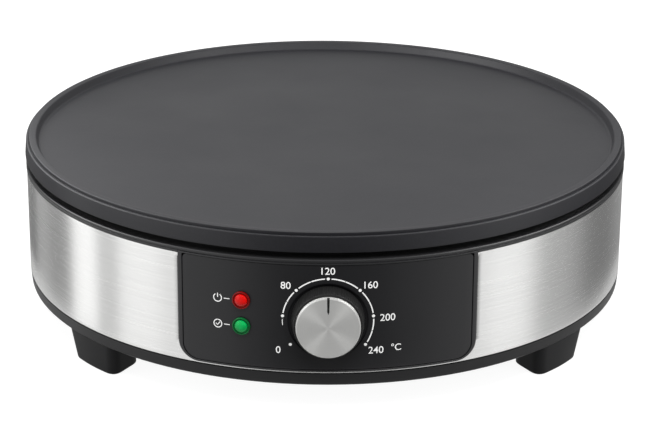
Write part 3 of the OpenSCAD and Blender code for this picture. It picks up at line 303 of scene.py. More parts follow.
def finish_piece(name, mesh, slot, replaces=(), finish=None, body="housing", smooth=SMOOTH):
    """Merges a mesh's doubles, turns its faces outwards and makes it an object that rides on its
    body, with its slot's finish unless another is named."""
    work = bmesh.new()
    work.from_mesh(mesh)
    bmesh.ops.remove_doubles(work, verts=work.verts, dist=MERGE)
    bmesh.ops.recalc_face_normals(work, faces=work.faces)
    work.to_mesh(mesh)
    work.free()
    mesh.shade_smooth()
    mesh.set_sharp_from_angle(angle=math.radians(smooth))
    mesh.materials.append(FINISHES[finish or slot])
    piece = bpy.data.objects.new(name, mesh)
    bpy.context.scene.collection.objects.link(piece)
    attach(piece, body)
    if replaces:
        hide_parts(*replaces)
    return piece


def rounded(points, radii, steps=5):
    """Closed outline with each corner b replaced by the curve (1-t)^2 a + 2t(1-t) b + t^2 c, whose
    ends a and c lie on the two sides at that corner's radius."""
    b = np.asarray(points, float)
    reach = np.broadcast_to(np.asarray(radii, float), len(b))[:, None]
    back, ahead = np.roll(b, 1, 0) - b, np.roll(b, -1, 0) - b
    a = b + back / np.linalg.norm(back, axis=1, keepdims=True) * reach
    c = b + ahead / np.linalg.norm(ahead, axis=1, keepdims=True) * reach
    t = np.linspace(0, 1, steps + 1)[None, :, None]
    curve = (1 - t) ** 2 * a[:, None] + 2 * t * (1 - t) * b[:, None] + t**2 * c[:, None]
    return curve.reshape(-1, 2)


def turned(profile, columns, place=None, ripple=None):
    """A sheet from a closed profile of (radius, height) turned about Z: x = r cos a, y = r sin a. A
    ripple takes (profile, angles) to a change of the radius, and place moves all the points."""
    profile = np.asarray(profile, float)
    a = np.arange(columns) * TURN / columns
    r = np.repeat(profile[:, :1], columns, 1)
    if ripple is not None:
        r = r + ripple(profile, a)
    h = np.repeat(profile[:, 1:2], columns, 1)
    points = np.stack([r * np.cos(a), r * np.sin(a), h], -1)
    lap = np.arange(columns + 1) / columns
    outline = np.concatenate([profile, profile[:1]])
    run = np.concatenate([[0], np.cumsum(np.linalg.norm(np.diff(outline, axis=0), axis=1))])
    uv = np.stack(np.broadcast_arrays(lap[None, :], run[:, None]), -1)
    return grid(place(points) if place else points, True, True, uv)


def spun(points, a):
    """Points turned about Z by an angle a: (x cos a - y sin a, x sin a + y cos a, z)."""
    x, y, z = np.moveaxis(points, -1, 0)
    return np.stack([x * math.cos(a) - y * math.sin(a), x * math.sin(a) + y * math.cos(a), z], -1)


def closed_line(points):
    """Sheets of a line with four-cornered sections points[row, 4]: its sides and its two ends."""
    ends = [grid(np.array([[p[0], p[1]], [p[3], p[2]]])) for p in (points[0], points[-1])]
    return [grid(points, False, True)] + ends


def to_front(points, distance, height):
    """Turns a shape that is drawn upwards so that it points along -Y, its base at y = -distance."""
    x, y, h = np.moveaxis(points, -1, 0)
    return np.stack([x, -(distance + h), height + y], -1)


def on_curve(across, height, radius):
    """Points on the panel's cylinder, measured along it: x = R sin(s / R0), y = -R cos(s / R0),
    with R0 the radius of the fascia's face."""
    face = bpy.context.scene.crepe_panel.fascia_radius
    a = across / face
    return np.stack(np.broadcast_arrays(radius * np.sin(a), -radius * np.cos(a), height), -1)


def seen_from_front(outline, radius):
    """Puts an outline of (x, z) on a cylinder round Z, straight along Y: y = -sqrt(R^2 - x^2)."""
    x, z = outline[:, 0], outline[:, 1]
    return np.stack([x, -np.sqrt(radius**2 - x**2), z], -1)


def panel_outline(half, low, high, low_r, high_r):
    """Closed outline of the panel seen from the front: quarter circles joined by straight runs."""
    centres = [
        (half - low_r, low + low_r, low_r, -90),
        (half - high_r, high - high_r, high_r, 0),
        (high_r - half, high - high_r, high_r, 90),
        (low_r - half, low + low_r, low_r, 180),
    ]
    arcs = []
    for x, z, r, start in centres:
        a = np.radians(start + np.linspace(0, 90, 15))
        arcs.append(np.stack([x + r * np.cos(a), z + r * np.sin(a)], -1))
    parts = []
    for here, after, steps in zip(arcs, arcs[1:] + arcs[:1], (18, 72, 18, 72)):
        t = np.linspace(0, 1, steps + 1)[1:-1, None]
        parts += [here, here[-1] * (1 - t) + after[0] * t]
    return np.concatenate(parts)


def quarter():
    """Pairs (1 - sin, 1 - cos) along a quarter circle, for rounding an edge."""
    a = np.linspace(0, math.pi / 2, 5)
    return list(zip(1 - np.sin(a), 1 - np.cos(a)))


# ---- Finishes ----

FINISHES = {}  # material of each slot, and of each other finish by its name


def add_node(tree, kind, inputs=(), **settings):
    """A node with its settings; an input is a value, or a socket that is linked to it."""
    made = tree.nodes.new("ShaderNode" + kind)
    for key, value in settings.items():
        setattr(made, key, value)
    for key, value in dict(inputs).items():
        if isinstance(value, bpy.types.NodeSocket):
            tree.links.new(value, made.inputs[key])
        else:
            made.inputs[key].default_value = value
    return made


def maths(tree, operation, first, second):
    """Output of an operation on two values or sockets."""
    return add_node(tree, "Math", {0: first, 1: second}, operation=operation).outputs[0]


def white_to(tree, gloss):
    """1 for the camera and what it sees through clear pieces, gloss for gloss, and otherwise 0."""
    path = add_node(tree, "LightPath").outputs
    seen = maths(tree, "MAXIMUM", path["Is Camera Ray"], path["Is Transmission Ray"])
    return maths(tree, "MAXIMUM", seen, maths(tree, "MULTIPLY", path["Is Glossy Ray"], gloss))


class Finish:
    """One procedural material. The methods that make a value give back its socket, and those that
    change the shader give back the finish."""

    def __init__(self, name, base, roughness, metallic=0.0, **constants):
        self.material = bpy.data.materials.new(name)
        self.material.use_nodes = True
        self.tree = self.material.node_tree
        self.shader = self.tree.nodes["Principled BSDF"]
        self.base, self.roughness, self.bump = tuple(base), roughness, None
        constants.update(Base_Color=(*base, 1.0), Roughness=roughness, Metallic=metallic)
        for socket, value in constants.items():
            self.shader.inputs[socket.replace("_", " ")].default_value = value

    def node(self, kind, inputs=(), **settings):
        return add_node(self.tree, kind, inputs, **settings)

    def link(self, value, socket):
        """Feeds a socket of the shader."""
        self.tree.links.new(value, self.shader.inputs[socket])

    def noise(self, size, detail=3.0, stretch=(1.0, 1.0, 1.0), source="Object", rough=0.5):
        """Noise whose grains are about size metres across, stretched on each axis."""
        where = self.node("TexCoord").outputs[source]
        where = self.node("Mapping", {"Vector": where, "Scale": stretch}).outputs[0]
        settings = {"Vector": where, "Scale": 1.0 / size, "Detail": detail, "Roughness": rough}
        return self.node("TexNoise", settings).outputs[0]

    def spread(self, fac, low, high, start=0.3, end=0.7):
        """Maps a value from start..end to low..high."""
        return self.node("MapRange", {0: fac, 1: start, 2: end, 3: low, 4: high}).outputs[0]

    def tint(self, fac, darker, lighter):
        """Base colour times a factor that follows fac."""
        ends = [(*[min(1.0, c * k) for c in self.base], 1.0) for k in (darker, lighter)]
        mix = self.node("Mix", {0: fac, 6: ends[0], 7: ends[1]}, data_type="RGBA")
        self.link(mix.outputs[2], "Base Color")
        return self

    def gloss(self, fac, change, start=0.3, end=0.7):
        """Roughness that follows fac, by change either way."""
        rough = self.roughness
        self.link(self.spread(fac, rough - change, rough + change, start, end), "Roughness")
        return self

    def relief(self, fac, height):
        """Bump of a height in metres, laid over any bump before it."""
        settings = {"Height": fac, "Distance": height, "Strength": 1.0}
        if self.bump is not None:
            settings["Normal"] = self.bump
        self.bump = self.node("Bump", settings).outputs[0]
        self.link(self.bump, "Normal")
        return self

    def brushed(self, along):
        """Gloss drawn out across the brushing, which runs along the UV map's first axis."""
        self.shader.inputs["Anisotropic"].default_value = along
        self.shader.inputs["Anisotropic Rotation"].default_value = 0.25
        tangent = self.node("Tangent", direction_type="UV_MAP", uv_map="UVMap")
        self.link(tangent.outputs[0], "Tangent")
        return self


PEBBLE = (0.45 * MM, 0.012 * MM)  # width and height of the grain of moulded plastic
LIP_GAP_SHADE = (160.5 * MM, 162.5 * MM)  # distances from the axis between which the painted shade inside the lip fades out


def moulded(name, base, roughness=0.42, grain=PEBBLE[0], height=PEBBLE[1], **constants):
    """Moulded plastic: a fine pebble grain, and wide soft drifts of tone and gloss."""
    made = Finish(name, base, roughness, **constants)
    drift = made.noise(0.035, 2.0)
    made.tint(drift, 0.93, 1.07).gloss(drift, 0.03)
    return made.relief(made.noise(grain, 2.0), height).material


def shaded_lip(base):
    """Moulded plastic of the upper ring, with painted shade inside the lip: darker and duller there,
    where the gap under the plate lies in shade. The shade follows the distance from the axis, the
    length of (x, y)."""
    made = Finish("lip_black", base, 0.36)
    apart = made.node("SeparateXYZ", {0: made.node("TexCoord").outputs["Object"]}).outputs
    flat = made.node("CombineXYZ", {0: apart[0], 1: apart[1]}).outputs[0]
    reach = made.node("VectorMath", {0: flat}, operation="LENGTH").outputs["Value"]
    # Painted shade: the base colour falls to a tenth inside the lip, standing in for the gap's shadow
    made.tint(made.spread(reach, 0.0, 1.0, *LIP_GAP_SHADE), 0.1, 1.0)
    made.link(made.spread(reach, 0.95, made.roughness, *LIP_GAP_SHADE), "Roughness")
    return made.relief(made.noise(PEBBLE[0], 2.0), PEBBLE[1]).material


def rolled(name, base, roughness=0.34, scratch=0.6 * MM, height=0.006 * MM):
    """Plain metal: fine scratches that run one way, and a cloudy change of gloss."""
    made = Finish(name, base, roughness, 1.0)
    cloud = made.noise(0.012, 3.0)
    made.tint(cloud, 0.9, 1.06).gloss(cloud, 0.07)
    return made.relief(made.noise(scratch, 2.0, (1.0, 1.0, 9.0)), height).material


def coated_plate(base):
    """Non-stick coating: a dense orange-peel grain, tiny specks and faint clouds from baking."""
    made = Finish("nonstick_coating", base, 0.47, Specular_IOR_Level=0.42)
    cloud = made.noise(0.09, 4.0)
    speck = made.spread(made.noise(0.0011, 1.0), 0.0, 1.0, 0.44, 0.62)
    both = maths(made.tree, "ADD", cloud, speck)
    made.tint(made.spread(both, 0.0, 1.0, 0.2, 1.5), 0.9, 1.1).gloss(cloud, 0.05)
    made.relief(made.noise(0.0006, 3.0), 0.00003)
    return made.relief(made.noise(0.004, 2.0), 0.00002).material


def brushed_band(base):
    """Stainless sheet brushed along its length: long thin streaks in height, gloss and tone."""
    made = Finish("brushed_stainless", base, 0.25, 1.0)
    fine = made.noise(0.00025, 3.0, (0.004, 1.0, 1.0), "UV", 0.6)
    broad = made.noise(0.0012, 2.0, (0.003, 1.0, 1.0), "UV")
    streak = made.spread(maths(made.tree, "ADD", fine, broad), 0.0, 1.0, 0.7, 1.3)
    made.tint(streak, 0.95, 1.03).gloss(streak, 0.03, 0.0, 1.0).relief(streak, 0.0000005)
    return made.brushed(0.8).material


def spun_cap(base):
    """Turned metal face: fine rings from the tool, which draw the gloss out from the middle."""
    made = Finish("spun_aluminium", base, 0.47, 0.76)
    ring = made.noise(0.00016, 2.0, (0.0001, 1.0, 1.0), "UV", 0.6)
    made.tint(ring, 0.93, 1.05).gloss(ring, 0.04).relief(ring, 0.0000016)
    return made.brushed(0.86).material


def clear_lens(name, base, glow=0.0):
    """Coloured clear plastic: a hard gloss, a faint painted glow (emission of its own colour,
    standing in for light caught in the plastic), and swirls where the plastic flowed."""
    made = Finish(
        name, base, 0.16, Specular_IOR_Level=0.35, Emission_Color=(*base, 1.0),
        Emission_Strength=glow,
    )
    flow = made.noise(0.0022, 2.0)
    return made.tint(flow, 0.55, 1.25).relief(made.noise(0.0014, 1.0), 0.00006).material


def inked(name, base):
    """Screen-printed ink: thin, a little uneven, and duller than the plastic under it."""
    made = Finish(name, base, 0.55)
    made.tint(made.noise(0.0009, 3.0), 0.9, 1.05)
    return made.relief(made.noise(0.00025, 2.0), 0.000006).material


def slot_finishes(colours):
    """Material for each slot of the record."""
    return {
        "plate_coating": coated_plate(colours.coating),
        "band_steel": brushed_band(colours.steel),
        "cap_aluminium": spun_cap(colours.cap),
        # The two lens finishes carry a faint painted glow: emission that brightens the domes
        "lens_red": clear_lens("red_lens", colours.red, 0.12),
        "lens_green": clear_lens("green_lens", colours.green, 0.08),
        "lip_plastic": shaded_lip(colours.lip),
        "base_plastic": moulded("base_black", colours.base, 0.40, Specular_IOR_Level=0.36),
        "foot_plastic": moulded("foot_black", colours.foot, 0.42, Specular_IOR_Level=0.16),
        "frame_plastic": moulded("frame_black", colours.border, 0.40, 0.0005, 0.00002),
        "fascia_plastic": moulded("fascia_black", colours.fascia, 0.34, 0.0004, 0.000008),
        "grip_plastic": moulded("grip_black", colours.grip, 0.36, 0.0004, 0.000008),
        "gland_plastic": moulded("gland_black", colours.foot, 0.45),
        "pad_rubber": moulded("pad_rubber", (0.022, 0.022, 0.022), 0.75, 0.0008, 0.00004),
        "ceramic": moulded("steatite", (0.62, 0.60, 0.53), 0.6, 0.0007, 0.00003),
        "lamp_plastic": moulded("lamp_moulding", (0.60, 0.57, 0.49), 0.5),
        "block_plastic": moulded("white_nylon", (0.58, 0.58, 0.55), 0.45),
        "wire_brown": moulded("brown_insulation", (0.13, 0.055, 0.022), 0.5, 0.0009),
        "wire_blue": moulded("blue_insulation", (0.025, 0.075, 0.36), 0.5, 0.0009),
        "wire_green": moulded("green_insulation", (0.075, 0.26, 0.05), 0.5, 0.0009),
        "wire_red": moulded("red_insulation", (0.34, 0.025, 0.018), 0.5, 0.0009),
        "wire_white": moulded("glass_sleeving", (0.55, 0.53, 0.48), 0.85, 0.0006, 0.00008),
        "screw_steel": rolled("zinc_plating", (0.60, 0.60, 0.63), 0.3),
        "seam_steel": rolled("seam_steel", (0.55, 0.55, 0.56), 0.32),
        "rivet_steel": rolled("rivet_steel", (0.62, 0.62, 0.63), 0.26),
        "bracket_steel": rolled("bracket_steel", (0.56, 0.56, 0.57), 0.36),
        "spring_steel": rolled("spring_steel", (0.36, 0.37, 0.40), 0.28),
        "brass": rolled("turned_brass", (0.72, 0.52, 0.22), 0.28),
        "copper": rolled("drawn_copper", (0.72, 0.36, 0.22), 0.3),
        "element_steel": rolled("scaled_steel", (0.17, 0.145, 0.125), 0.5, 0.0009, 0.00002),
        "shield_aluminium": rolled("rolled_aluminium", (0.70, 0.71, 0.72), 0.3, 0.0012),
        "fuse_metal": rolled("fuse_case", (0.58, 0.55, 0.48), 0.4),
    }


# ---- Steps ----


class CREPE_OT_finishes(bpy.types.Operator):
    """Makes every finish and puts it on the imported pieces"""

    bl_idname = "crepe.finishes"
    bl_label = "Finishes"

    def execute(self, context):
        colours = context.scene.crepe_colours
        FINISHES.update(slot_finishes(colours))
        FINISHES["ink"] = inked("white_ink", colours.ink)
        FINISHES["pointer"] = inked("black_paint", (0.006, 0.006, 0.006))
        # Painted shade: each lamp's flange gets a copy of its lens finish at 0.3 of the colour,
        # darker than the dome of the same plastic
        for tone in ("red", "green"):
            shaded_flange_colour = [c * 0.3 for c in getattr(colours, tone)]
            FINISHES["flange_" + tone] = clear_lens(f"{tone}_flange", shaded_flange_colour)
        for part in frame["record"]["subparts"]:
            node = frame["nodes"][part["node"]]
            if not node.material_slots:
                raise RuntimeError(f"{node.name} has no material slot")
            for place in node.material_slots:
                place.material = FINISHES[part["material_slot"]]
        return {"FINISHED"}


class CREPE_OT_plate(bpy.types.Operator):
    """Builds the coated cooking plate with its rolled rim"""

    bl_idname = "crepe.plate"
    bl_label = "Cooking plate"

    def execute(self, context):
        size = context.scene.crepe_plate
        surface = size.top - size.rim_rise
        under = surface - size.thickness
        low = size.top - size.skirt
        rim_out = size.radius - size.rim_inset
        rim_in = rim_out - size.rim_width
        shoulder = size.top - size.step
        groove, half = 3.45 * MM, 7.5 * MM  # radius of a ring's groove, half of a ring's width
        land = under - size.land
        inside, notch = size.radius - 8 * MM, rim_out + 0.45 * MM  # skirt's inner wall, rim's foot
        a = np.radians(np.linspace(180, 0, 13))
        points = [(0.0, under)]
        for r in (70 * MM, 118 * MM):  # the two cast rings that hold the element
            points += [(r - half, under), (r - half, land)]
            points += list(zip(r + groove * np.cos(a), land + groove * np.sin(a)))
            points += [(r + half, land), (r + half, under)]
        radii = [0.0] * len(points)
        points += [
            (inside, under), (inside + 1 * MM, low), (size.radius, low),
            (size.radius - size.lean, shoulder), (notch, shoulder - 0.1 * MM),
            (rim_out, shoulder - 0.3 * MM), (rim_out, size.top), (rim_in, size.top - 0.1 * MM),
            (rim_in - size.slope, surface), (rim_in - 20 * MM, surface), (0.0, surface),
        ]
        radii += [k * MM for k in (0.0, 0.2, 0.75, 0.85, 0.1, 0.15, 0.5, 0.6, 1.0, 0.0, 0.0)]
        sheet = turned(rounded(points, radii, 6), 360)
        build("plate_casting", [sheet], "plate_coating", ["cooking_plate"])
        return {"FINISHED"}


class CREPE_OT_band(bpy.types.Operator):
    """Builds the brushed steel band, open at its seam and cut out for the panel"""

    bl_idname = "crepe.band"
    bl_label = "Steel band"

    def execute(self, context):
        size, panel = context.scene.crepe_band, context.scene.crepe_panel
        clear = 0.15 * MM  # between the band and the panel's frame
        half, corner = panel.half_width + clear, panel.corner + clear
        step = panel.low - clear + corner
        # Draw-in and height of the rounded lower edge, from its lower end up; the upper mirrors it
        inwards, up = np.array(quarter()).T * size.edge
        low = size.low + up

        def lower(a, top):
            """Rows from the lower edge to a top that may differ for each column."""
            t = np.linspace(0, 1, 9)[1:, None]
            z = np.concatenate([np.repeat(low[:, None], len(a), 1), low[-1] + (top - low[-1]) * t])
            return self.surface(z, np.concatenate([inwards, np.zeros(8)]), a)

        def upper(a):
            """Rows from the step to the upper edge."""
            wall = np.linspace(step, size.high - size.edge, 24)
            z = np.concatenate([wall, size.high - up[-2::-1]])[:, None]
            inset = np.concatenate([0.0 * wall, inwards[-2::-1]])
            return self.surface(np.repeat(z, len(a), 1), inset, a)

        cut = math.asin(half / size.radius)
        flat = math.asin((half - corner) / size.radius)
        x = half - corner + corner * np.sin(np.linspace(0, math.pi / 2, 14))
        right = np.arcsin(x / size.radius)
        middle = np.linspace(-flat, flat, 60)
        across = np.concatenate([-right[::-1], middle[1:-1], right])
        reach = np.clip(np.abs(size.radius * np.sin(across)) - (half - corner), 0, corner)
        top = step - np.sqrt(corner**2 - reach**2)
        front = across - math.pi / 2
        lap = size.seam_gap / 2 / size.radius
        left = np.linspace(size.seam + lap - TURN, -math.pi / 2 - cut, 220)
        ahead = np.linspace(-math.pi / 2 + cut, size.seam - lap, 160)
        sheets = [lower(front, top)]
        for a in (left, ahead):
            sheets += [lower(a, np.full(len(a), step)), upper(a)]
        piece = build("band_sheet", sheets, "band_steel", ["steel_band"])
        wall = piece.modifiers.new("sheet_thickness", "SOLIDIFY")
        wall.thickness = size.sheet
        wall.offset = -1.0
        return {"FINISHED"}

    @staticmethod
    def surface(z, inwards, a):
        """Rows of heights z, drawn in from the band's radius and swept over angles a: x = r cos a,
        y = r sin a."""
        radius = bpy.context.scene.crepe_band.radius
        r = radius - inwards[:, None]
        points = np.stack([r * np.cos(a), r * np.sin(a), z], -1)
        return grid(points, uv=np.stack([np.broadcast_to(a * radius, z.shape), z], -1))


class CREPE_OT_panel(bpy.types.Operator):
    """Builds the panel's frame and its dished fascia, with rounded edges"""

    bl_idname = "crepe.panel"
    bl_label = "Control panel"

    def execute(self, context):
        size = context.scene.crepe_panel
        self.frame(size)
        self.fascia(size, context.scene.crepe_knob.axis)
        return {"FINISHED"}

    @staticmethod
    def frame(size):
        """A profile carried round the panel's outline: outer wall, face, inner wall and back."""
        edge, face = size.edge, size.frame_radius
        back = face - size.frame_depth
        seat = size.fascia_radius - size.fascia_sheet - 0.1 * MM
        half, low, high, top_corner = size.half_width, size.low, size.high, 0.8 * MM

        def outer(d):
            return panel_outline(half - d, low + d, high - 0.35 * d, size.corner - d, top_corner)

        def window(d):
            inset = size.border - d
            sides = half - inset, low + size.sill - d, high - size.rail + d
            return panel_outline(*sides, size.corner - inset, top_corner)

        rows = [(outer(0.0), back)]
        rows += [(outer(edge * c), face - edge * s) for s, c in quarter()]
        rows += [(window(edge * c), face - edge * s) for s, c in quarter()[::-1]]
        shelf = 4 * MM  # the seat's width at the sides, and the rear opening's upper corners
        sides = half - size.border - shelf, low + size.seat, high - 5.6 * MM
        rear = panel_outline(*sides, size.corner - size.border, shelf)
        rows += [(window(0.0), seat), (rear, seat), (rear, back)]
        points = np.array([seen_from_front(outline, r) for outline, r in rows])
        build("panel_frame", [grid(points, True, True)], "frame_plastic", ["control_frame"])

    @staticmethod
    def fascia(size, axis):
        """Rows from the panel's outline to circles round the knob's axis, each at its own depth."""
        edge, face, back = size.edge, size.fascia_radius, size.fascia_radius - size.fascia_sheet

        def outline(d):
            inset, gap = size.border + size.gap + d, size.gap + d
            sides = size.half_width - inset, size.low + size.sill + gap, size.high - size.rail - gap
            return panel_outline(*sides, size.corner - inset + d, 2.5 * MM)

        rim = outline(0.0)
        bearing = np.arctan2(rim[:, 1] - axis, rim[:, 0])

        def circle(r):
            return np.stack([r * np.cos(bearing), axis + r * np.sin(bearing)], -1)

        def flat(shape, y):
            return np.stack([shape[:, 0], np.full(len(shape), -y), shape[:, 1]], -1)

        dish, floor = size.dish, size.dish_floor
        hole = floor - 3.1 * MM  # the back of the dish, which the spindle's hole goes through
        rows = [seen_from_front(rim, back)]
        rows += [seen_from_front(outline(edge * c), face - edge * s) for s, c in quarter()]
        inner = circle(dish + edge)
        start = outline(edge)
        for t in np.linspace(0, 1, 14)[1:]:
            rows.append(seen_from_front(start * (1 - t) + inner * t, face))
        for s, c in quarter()[-2::-1]:
            rows.append(seen_from_front(circle(dish + edge * c), face - edge * s))
        bend = 0.3 * MM  # where the dish's wall meets its floor
        for s, c in ((1.0, 0.0), (0.7, 0.7), (0.0, 1.0)):
            rows.append(flat(circle(dish - bend * (1 - s)), floor + bend * (1 - c)))
        boss = dish - 1.5 * MM
        for r, y in ((10 * MM, floor), (4 * MM, floor), (4 * MM, hole), (boss, hole)):
            rows.append(flat(circle(r), y))
        rows.append(seen_from_front(circle(boss), back))
        build("panel_fascia", [grid(rows, True, True)], "fascia_plastic", ["control_fascia"])


# Angles of the dial's marks, clockwise from the top
MARKS = (-124.5, -84.0, -44.0, 0.0, 44.0, 84.0, 124.5)
# Each figure, with its distance from the panel's middle along the curve and its height
FIGURES = (
    ("120", 0.0, 79.7), ("80", -21.1, 71.6), ("160", 21.3, 71.9), ("200", 29.9, 54.0),
    ("0", -24.9, 36.7), ("240", 24.1, 36.6), ("°C", 34.4, 37.5),
)


class CREPE_OT_dial(bpy.types.Operator):
    """Prints the scale, its plain figures and the signs beside the lamps"""

    bl_idname = "crepe.dial"
    bl_label = "Dial printing"

    def execute(self, context):
        size, axis = context.scene.crepe_dial, context.scene.crepe_knob.axis
        self.face = context.scene.crepe_panel.fascia_radius
        self.ink = size.ink
        marks = []
        for a in np.radians(MARKS):
            u, v = size.circle * math.sin(a), axis + size.circle * math.cos(a)
            marks.append(self.dot(u, v, size.dot))
        build("scale_marks", marks, "fascia_plastic", finish="ink")
        # Arcs between the marks, each broken half-way; the first of them is only a short dash
        gap, halfway = 4.1, 0.4
        arcs = [(-96.5, -88.5, 0.6)]
        for a, b in zip(MARKS[1:], MARKS[2:]):
            middle = (a + b) / 2
            arcs += [(a + gap, middle - halfway, 1.0), (middle + halfway, b - gap, 1.0)]
        lines = []
        for a, b, share in arcs:
            lines += self.arc(a, b, size.circle, 0.0, axis, size.line * share)
        build("scale_arcs", lines, "fascia_plastic", finish="ink")
        for i, (text, across, height) in enumerate(FIGURES):
            self.figure(f"scale_figure_{i}", text, across * MM, height * MM, size.figure)
        self.signs(size, context.scene.crepe_lamps)
        return {"FINISHED"}

    def slab(self, u, v):
        """Closed sections of ink through points u, v [n, 2], from over to just under the face."""
        top, under = self.face + self.ink, self.face - self.ink
        return np.stack(
            [on_curve(u[:, 0], v[:, 0], top), on_curve(u[:, 1], v[:, 1], top),
             on_curve(u[:, 1], v[:, 1], under), on_curve(u[:, 0], v[:, 0], under)], 1,
        )

    def arc(self, start, end, radius, across, height, width, steps=None):
        """Part of a ring from start to end, clockwise from the top, width wide."""
        steps = steps or max(6, int(abs(end - start) / 2))
        a = np.radians(np.linspace(start, end, steps))[:, None]
        r = radius + width * np.array([[-0.5, 0.5]])
        return closed_line(self.slab(across + r * np.sin(a), height + r * np.cos(a)))

    def dot(self, across, height, radius):
        """Round mark: its disc turned about its own middle, then laid on the curve."""
        a = np.linspace(0, TURN, 25)[:, None]
        r = np.array([[0.0, radius]])
        return grid(self.slab(across + r * np.sin(a), height + r * np.cos(a)), False, True)

    def figure(self, name, text, across, height, tall):
        """Figures of the built-in typeface, scaled to their height and laid on the curve."""
        curve = bpy.data.curves.new(name, "FONT")
        curve.body = text
        curve.align_x = "CENTER"
        curve.extrude = 0.5
        curve.offset = 0.004  # makes the strokes a little bolder
        holder = bpy.data.objects.new(name, curve)
        mesh = bpy.data.meshes.new_from_object(holder)
        bpy.data.objects.remove(holder)
        co = np.empty(len(mesh.vertices) * 3, np.float32)
        mesh.vertices.foreach_get("co", co)
        co = co.reshape(-1, 3).astype(float)
        low, high = co.min(0), co.max(0)
        scale = tall / (high[1] - low[1])
        u = across + (co[:, 0] - (low[0] + high[0]) / 2) * scale
        v = height + (co[:, 1] - (low[1] + high[1]) / 2) * scale
        laid = on_curve(u, v, self.face + self.ink * np.sign(co[:, 2]))
        mesh.vertices.foreach_set("co", laid.astype(np.float32).ravel())
        mesh.materials.clear()
        finish_piece(name, mesh, "fascia_plastic", finish="ink", smooth=20.0)

    def signs(self, size, lamps):
        """Signs: an open ring with a bar for power, a tick in a ring for ready, each with a dash to
        its lamp."""
        s, w = size.sign, size.stroke
        across = -lamps.across - 12.5 * MM  # the signs' middle
        power, ready = lamps.power - 0.2 * MM, lamps.ready - 0.2 * MM  # and their heights
        line = w * np.array([[-0.5, 0.5]] * 2)
        dash = -lamps.across - np.array([[9.2] * 2, [6.2] * 2]) * MM
        parts = []
        for z in (power, ready):
            parts += closed_line(self.slab(dash, z + 0.8 * line))
        for z, gap in ((power, 34.0), (ready, 0.0)):
            parts += self.arc(gap, 360.0 - gap, s, across, z, w, 40)
        bar = np.array([[0.1] * 2, [1.15] * 2]) * s
        parts += closed_line(self.slab(across + line, power + bar))
        tick = np.array([[-0.48, 0.02], [-0.12, -0.38], [0.52, 0.42]]) * s
        along = np.gradient(tick, axis=0)
        side = np.stack([-along[:, 1], along[:, 0]], -1)
        side = side / np.linalg.norm(side, axis=1, keepdims=True) * w
        u, v = [tick[:, [k]] + side[:, [k]] * np.array([-0.5, 0.5]) for k in (0, 1)]
        parts += closed_line(self.slab(across + u, ready + v))
        build("lamp_signs", parts, "fascia_plastic", finish="ink")


class CREPE_OT_knob(bpy.types.Operator):
    """Builds the ribbed grip, the spun cap and its pointer line"""

    bl_idname = "crepe.knob"
    bl_label = "Knob"

    def execute(self, context):
        size = context.scene.crepe_knob
        seat = size.cap - 0.9 * MM
        # The knob's back is hollow between its hub, which has the spindle's hole, and its wall
        hole, hub, wall = 3.05 * MM, 5.4 * MM, size.radius - 2.2 * MM
        roof, boss = size.depth - 3.2 * MM, size.depth + 0.85 * MM
        points = [
            (hole, 0.0), (hub, 0.0), (hub, roof), (wall, roof), (wall, 0.0), (size.radius, 0.0),
            (size.front, size.depth), (seat, size.depth), (seat, boss), (hole, boss),
        ]
        radii = np.array([0, 0.2, 0.3, 0.3, 0.3, 0.4, 0.45, 0.05, 0.1, 0]) * MM
        profile = rounded(points, radii)
        # Extra rows up the side, where the ribs run, after the rows of the corner at its foot
        corner_rows = 6
        side = np.linspace(0.06, 0.94, 12)[:, None]
        foot, head = np.array([size.radius, 0.0]), np.array([size.front, size.depth])
        cut = int(np.argmax(profile[:, 0] >= size.radius - 0.05 * MM)) + corner_rows
        profile = np.concatenate([profile[:cut], foot * (1 - side) + head * side, profile[cut:]])

        def ribs(rows, a):
            """-depth (1 - |sin(n a / 2)|^0.8) for n ribs, fading out at both ends of the side."""
            h = rows[:, 1:2] / size.depth
            side = rows[:, :1] > size.front - 0.3 * MM
            fade = np.clip(h / 0.05, 0, 1) * np.clip((1.0 - h) / 0.09, 0, 1) * side
            wave = np.abs(np.sin(size.ribs * a / 2.0))[None, :] ** 0.8
            return -size.rib_depth * fade * (1.0 - wave)

        def place(points):
            return to_front(points, size.back, size.axis)

        body = turned(profile, size.ribs * 8, place, ribs)
        build("knob_body", [body], "grip_plastic", ["knob_grip"], body="control_knob", smooth=50.0)
        face = turned(self.cap(size, seat), 192, place)
        build("knob_face", [face], "cap_aluminium", ["knob_cap"], body="control_knob", smooth=25.0)
        line = closed_line(place(self.pointer(size)))
        build("knob_pointer", line, "cap_aluminium", finish="pointer", body="control_knob")
        return {"FINISHED"}

    @staticmethod
    def cap(size, seat):
        """Profile of a flat face with a bright chamfer and a short skirt."""
        top = size.depth + size.cap_height
        low, plug, plug_r = size.depth + 0.1 * MM, size.depth + 0.9 * MM, seat + 0.05 * MM
        points = [
            (0.0, plug), (plug_r, plug), (plug_r, low), (size.cap, low),
            (size.cap, top - size.chamfer), (size.cap - size.chamfer, top), (size.cap / 2, top),
            (0.0, top),
        ]
        return rounded(points, np.array([0, 0.1, 0.1, 0.1, 0.12, 0.12, 0, 0]) * MM, 4)

    @staticmethod
    def pointer(size):
        """Sections of a painted line from the cap's edge inwards, which follows face and chamfer
        and has a pointed end."""
        end, edge, lift = size.pointer_end, size.cap - size.chamfer, 0.03 * MM
        top = size.depth + size.cap_height + lift
        run = np.array([end, end + 1.2 * MM, edge, size.cap + 0.02 * MM])
        half = size.pointer / 2 * np.array([0.15, 0.85, 1.0, 1.0])
        high = np.array([top, top, top, top - size.chamfer])
        corners = ((-1, 0.0), (1, 0.0), (1, 0.2 * MM), (-1, 0.2 * MM))
        lines = [np.stack([side * half, run, high - drop], -1) for side, drop in corners]
        return np.stack(lines, 1)


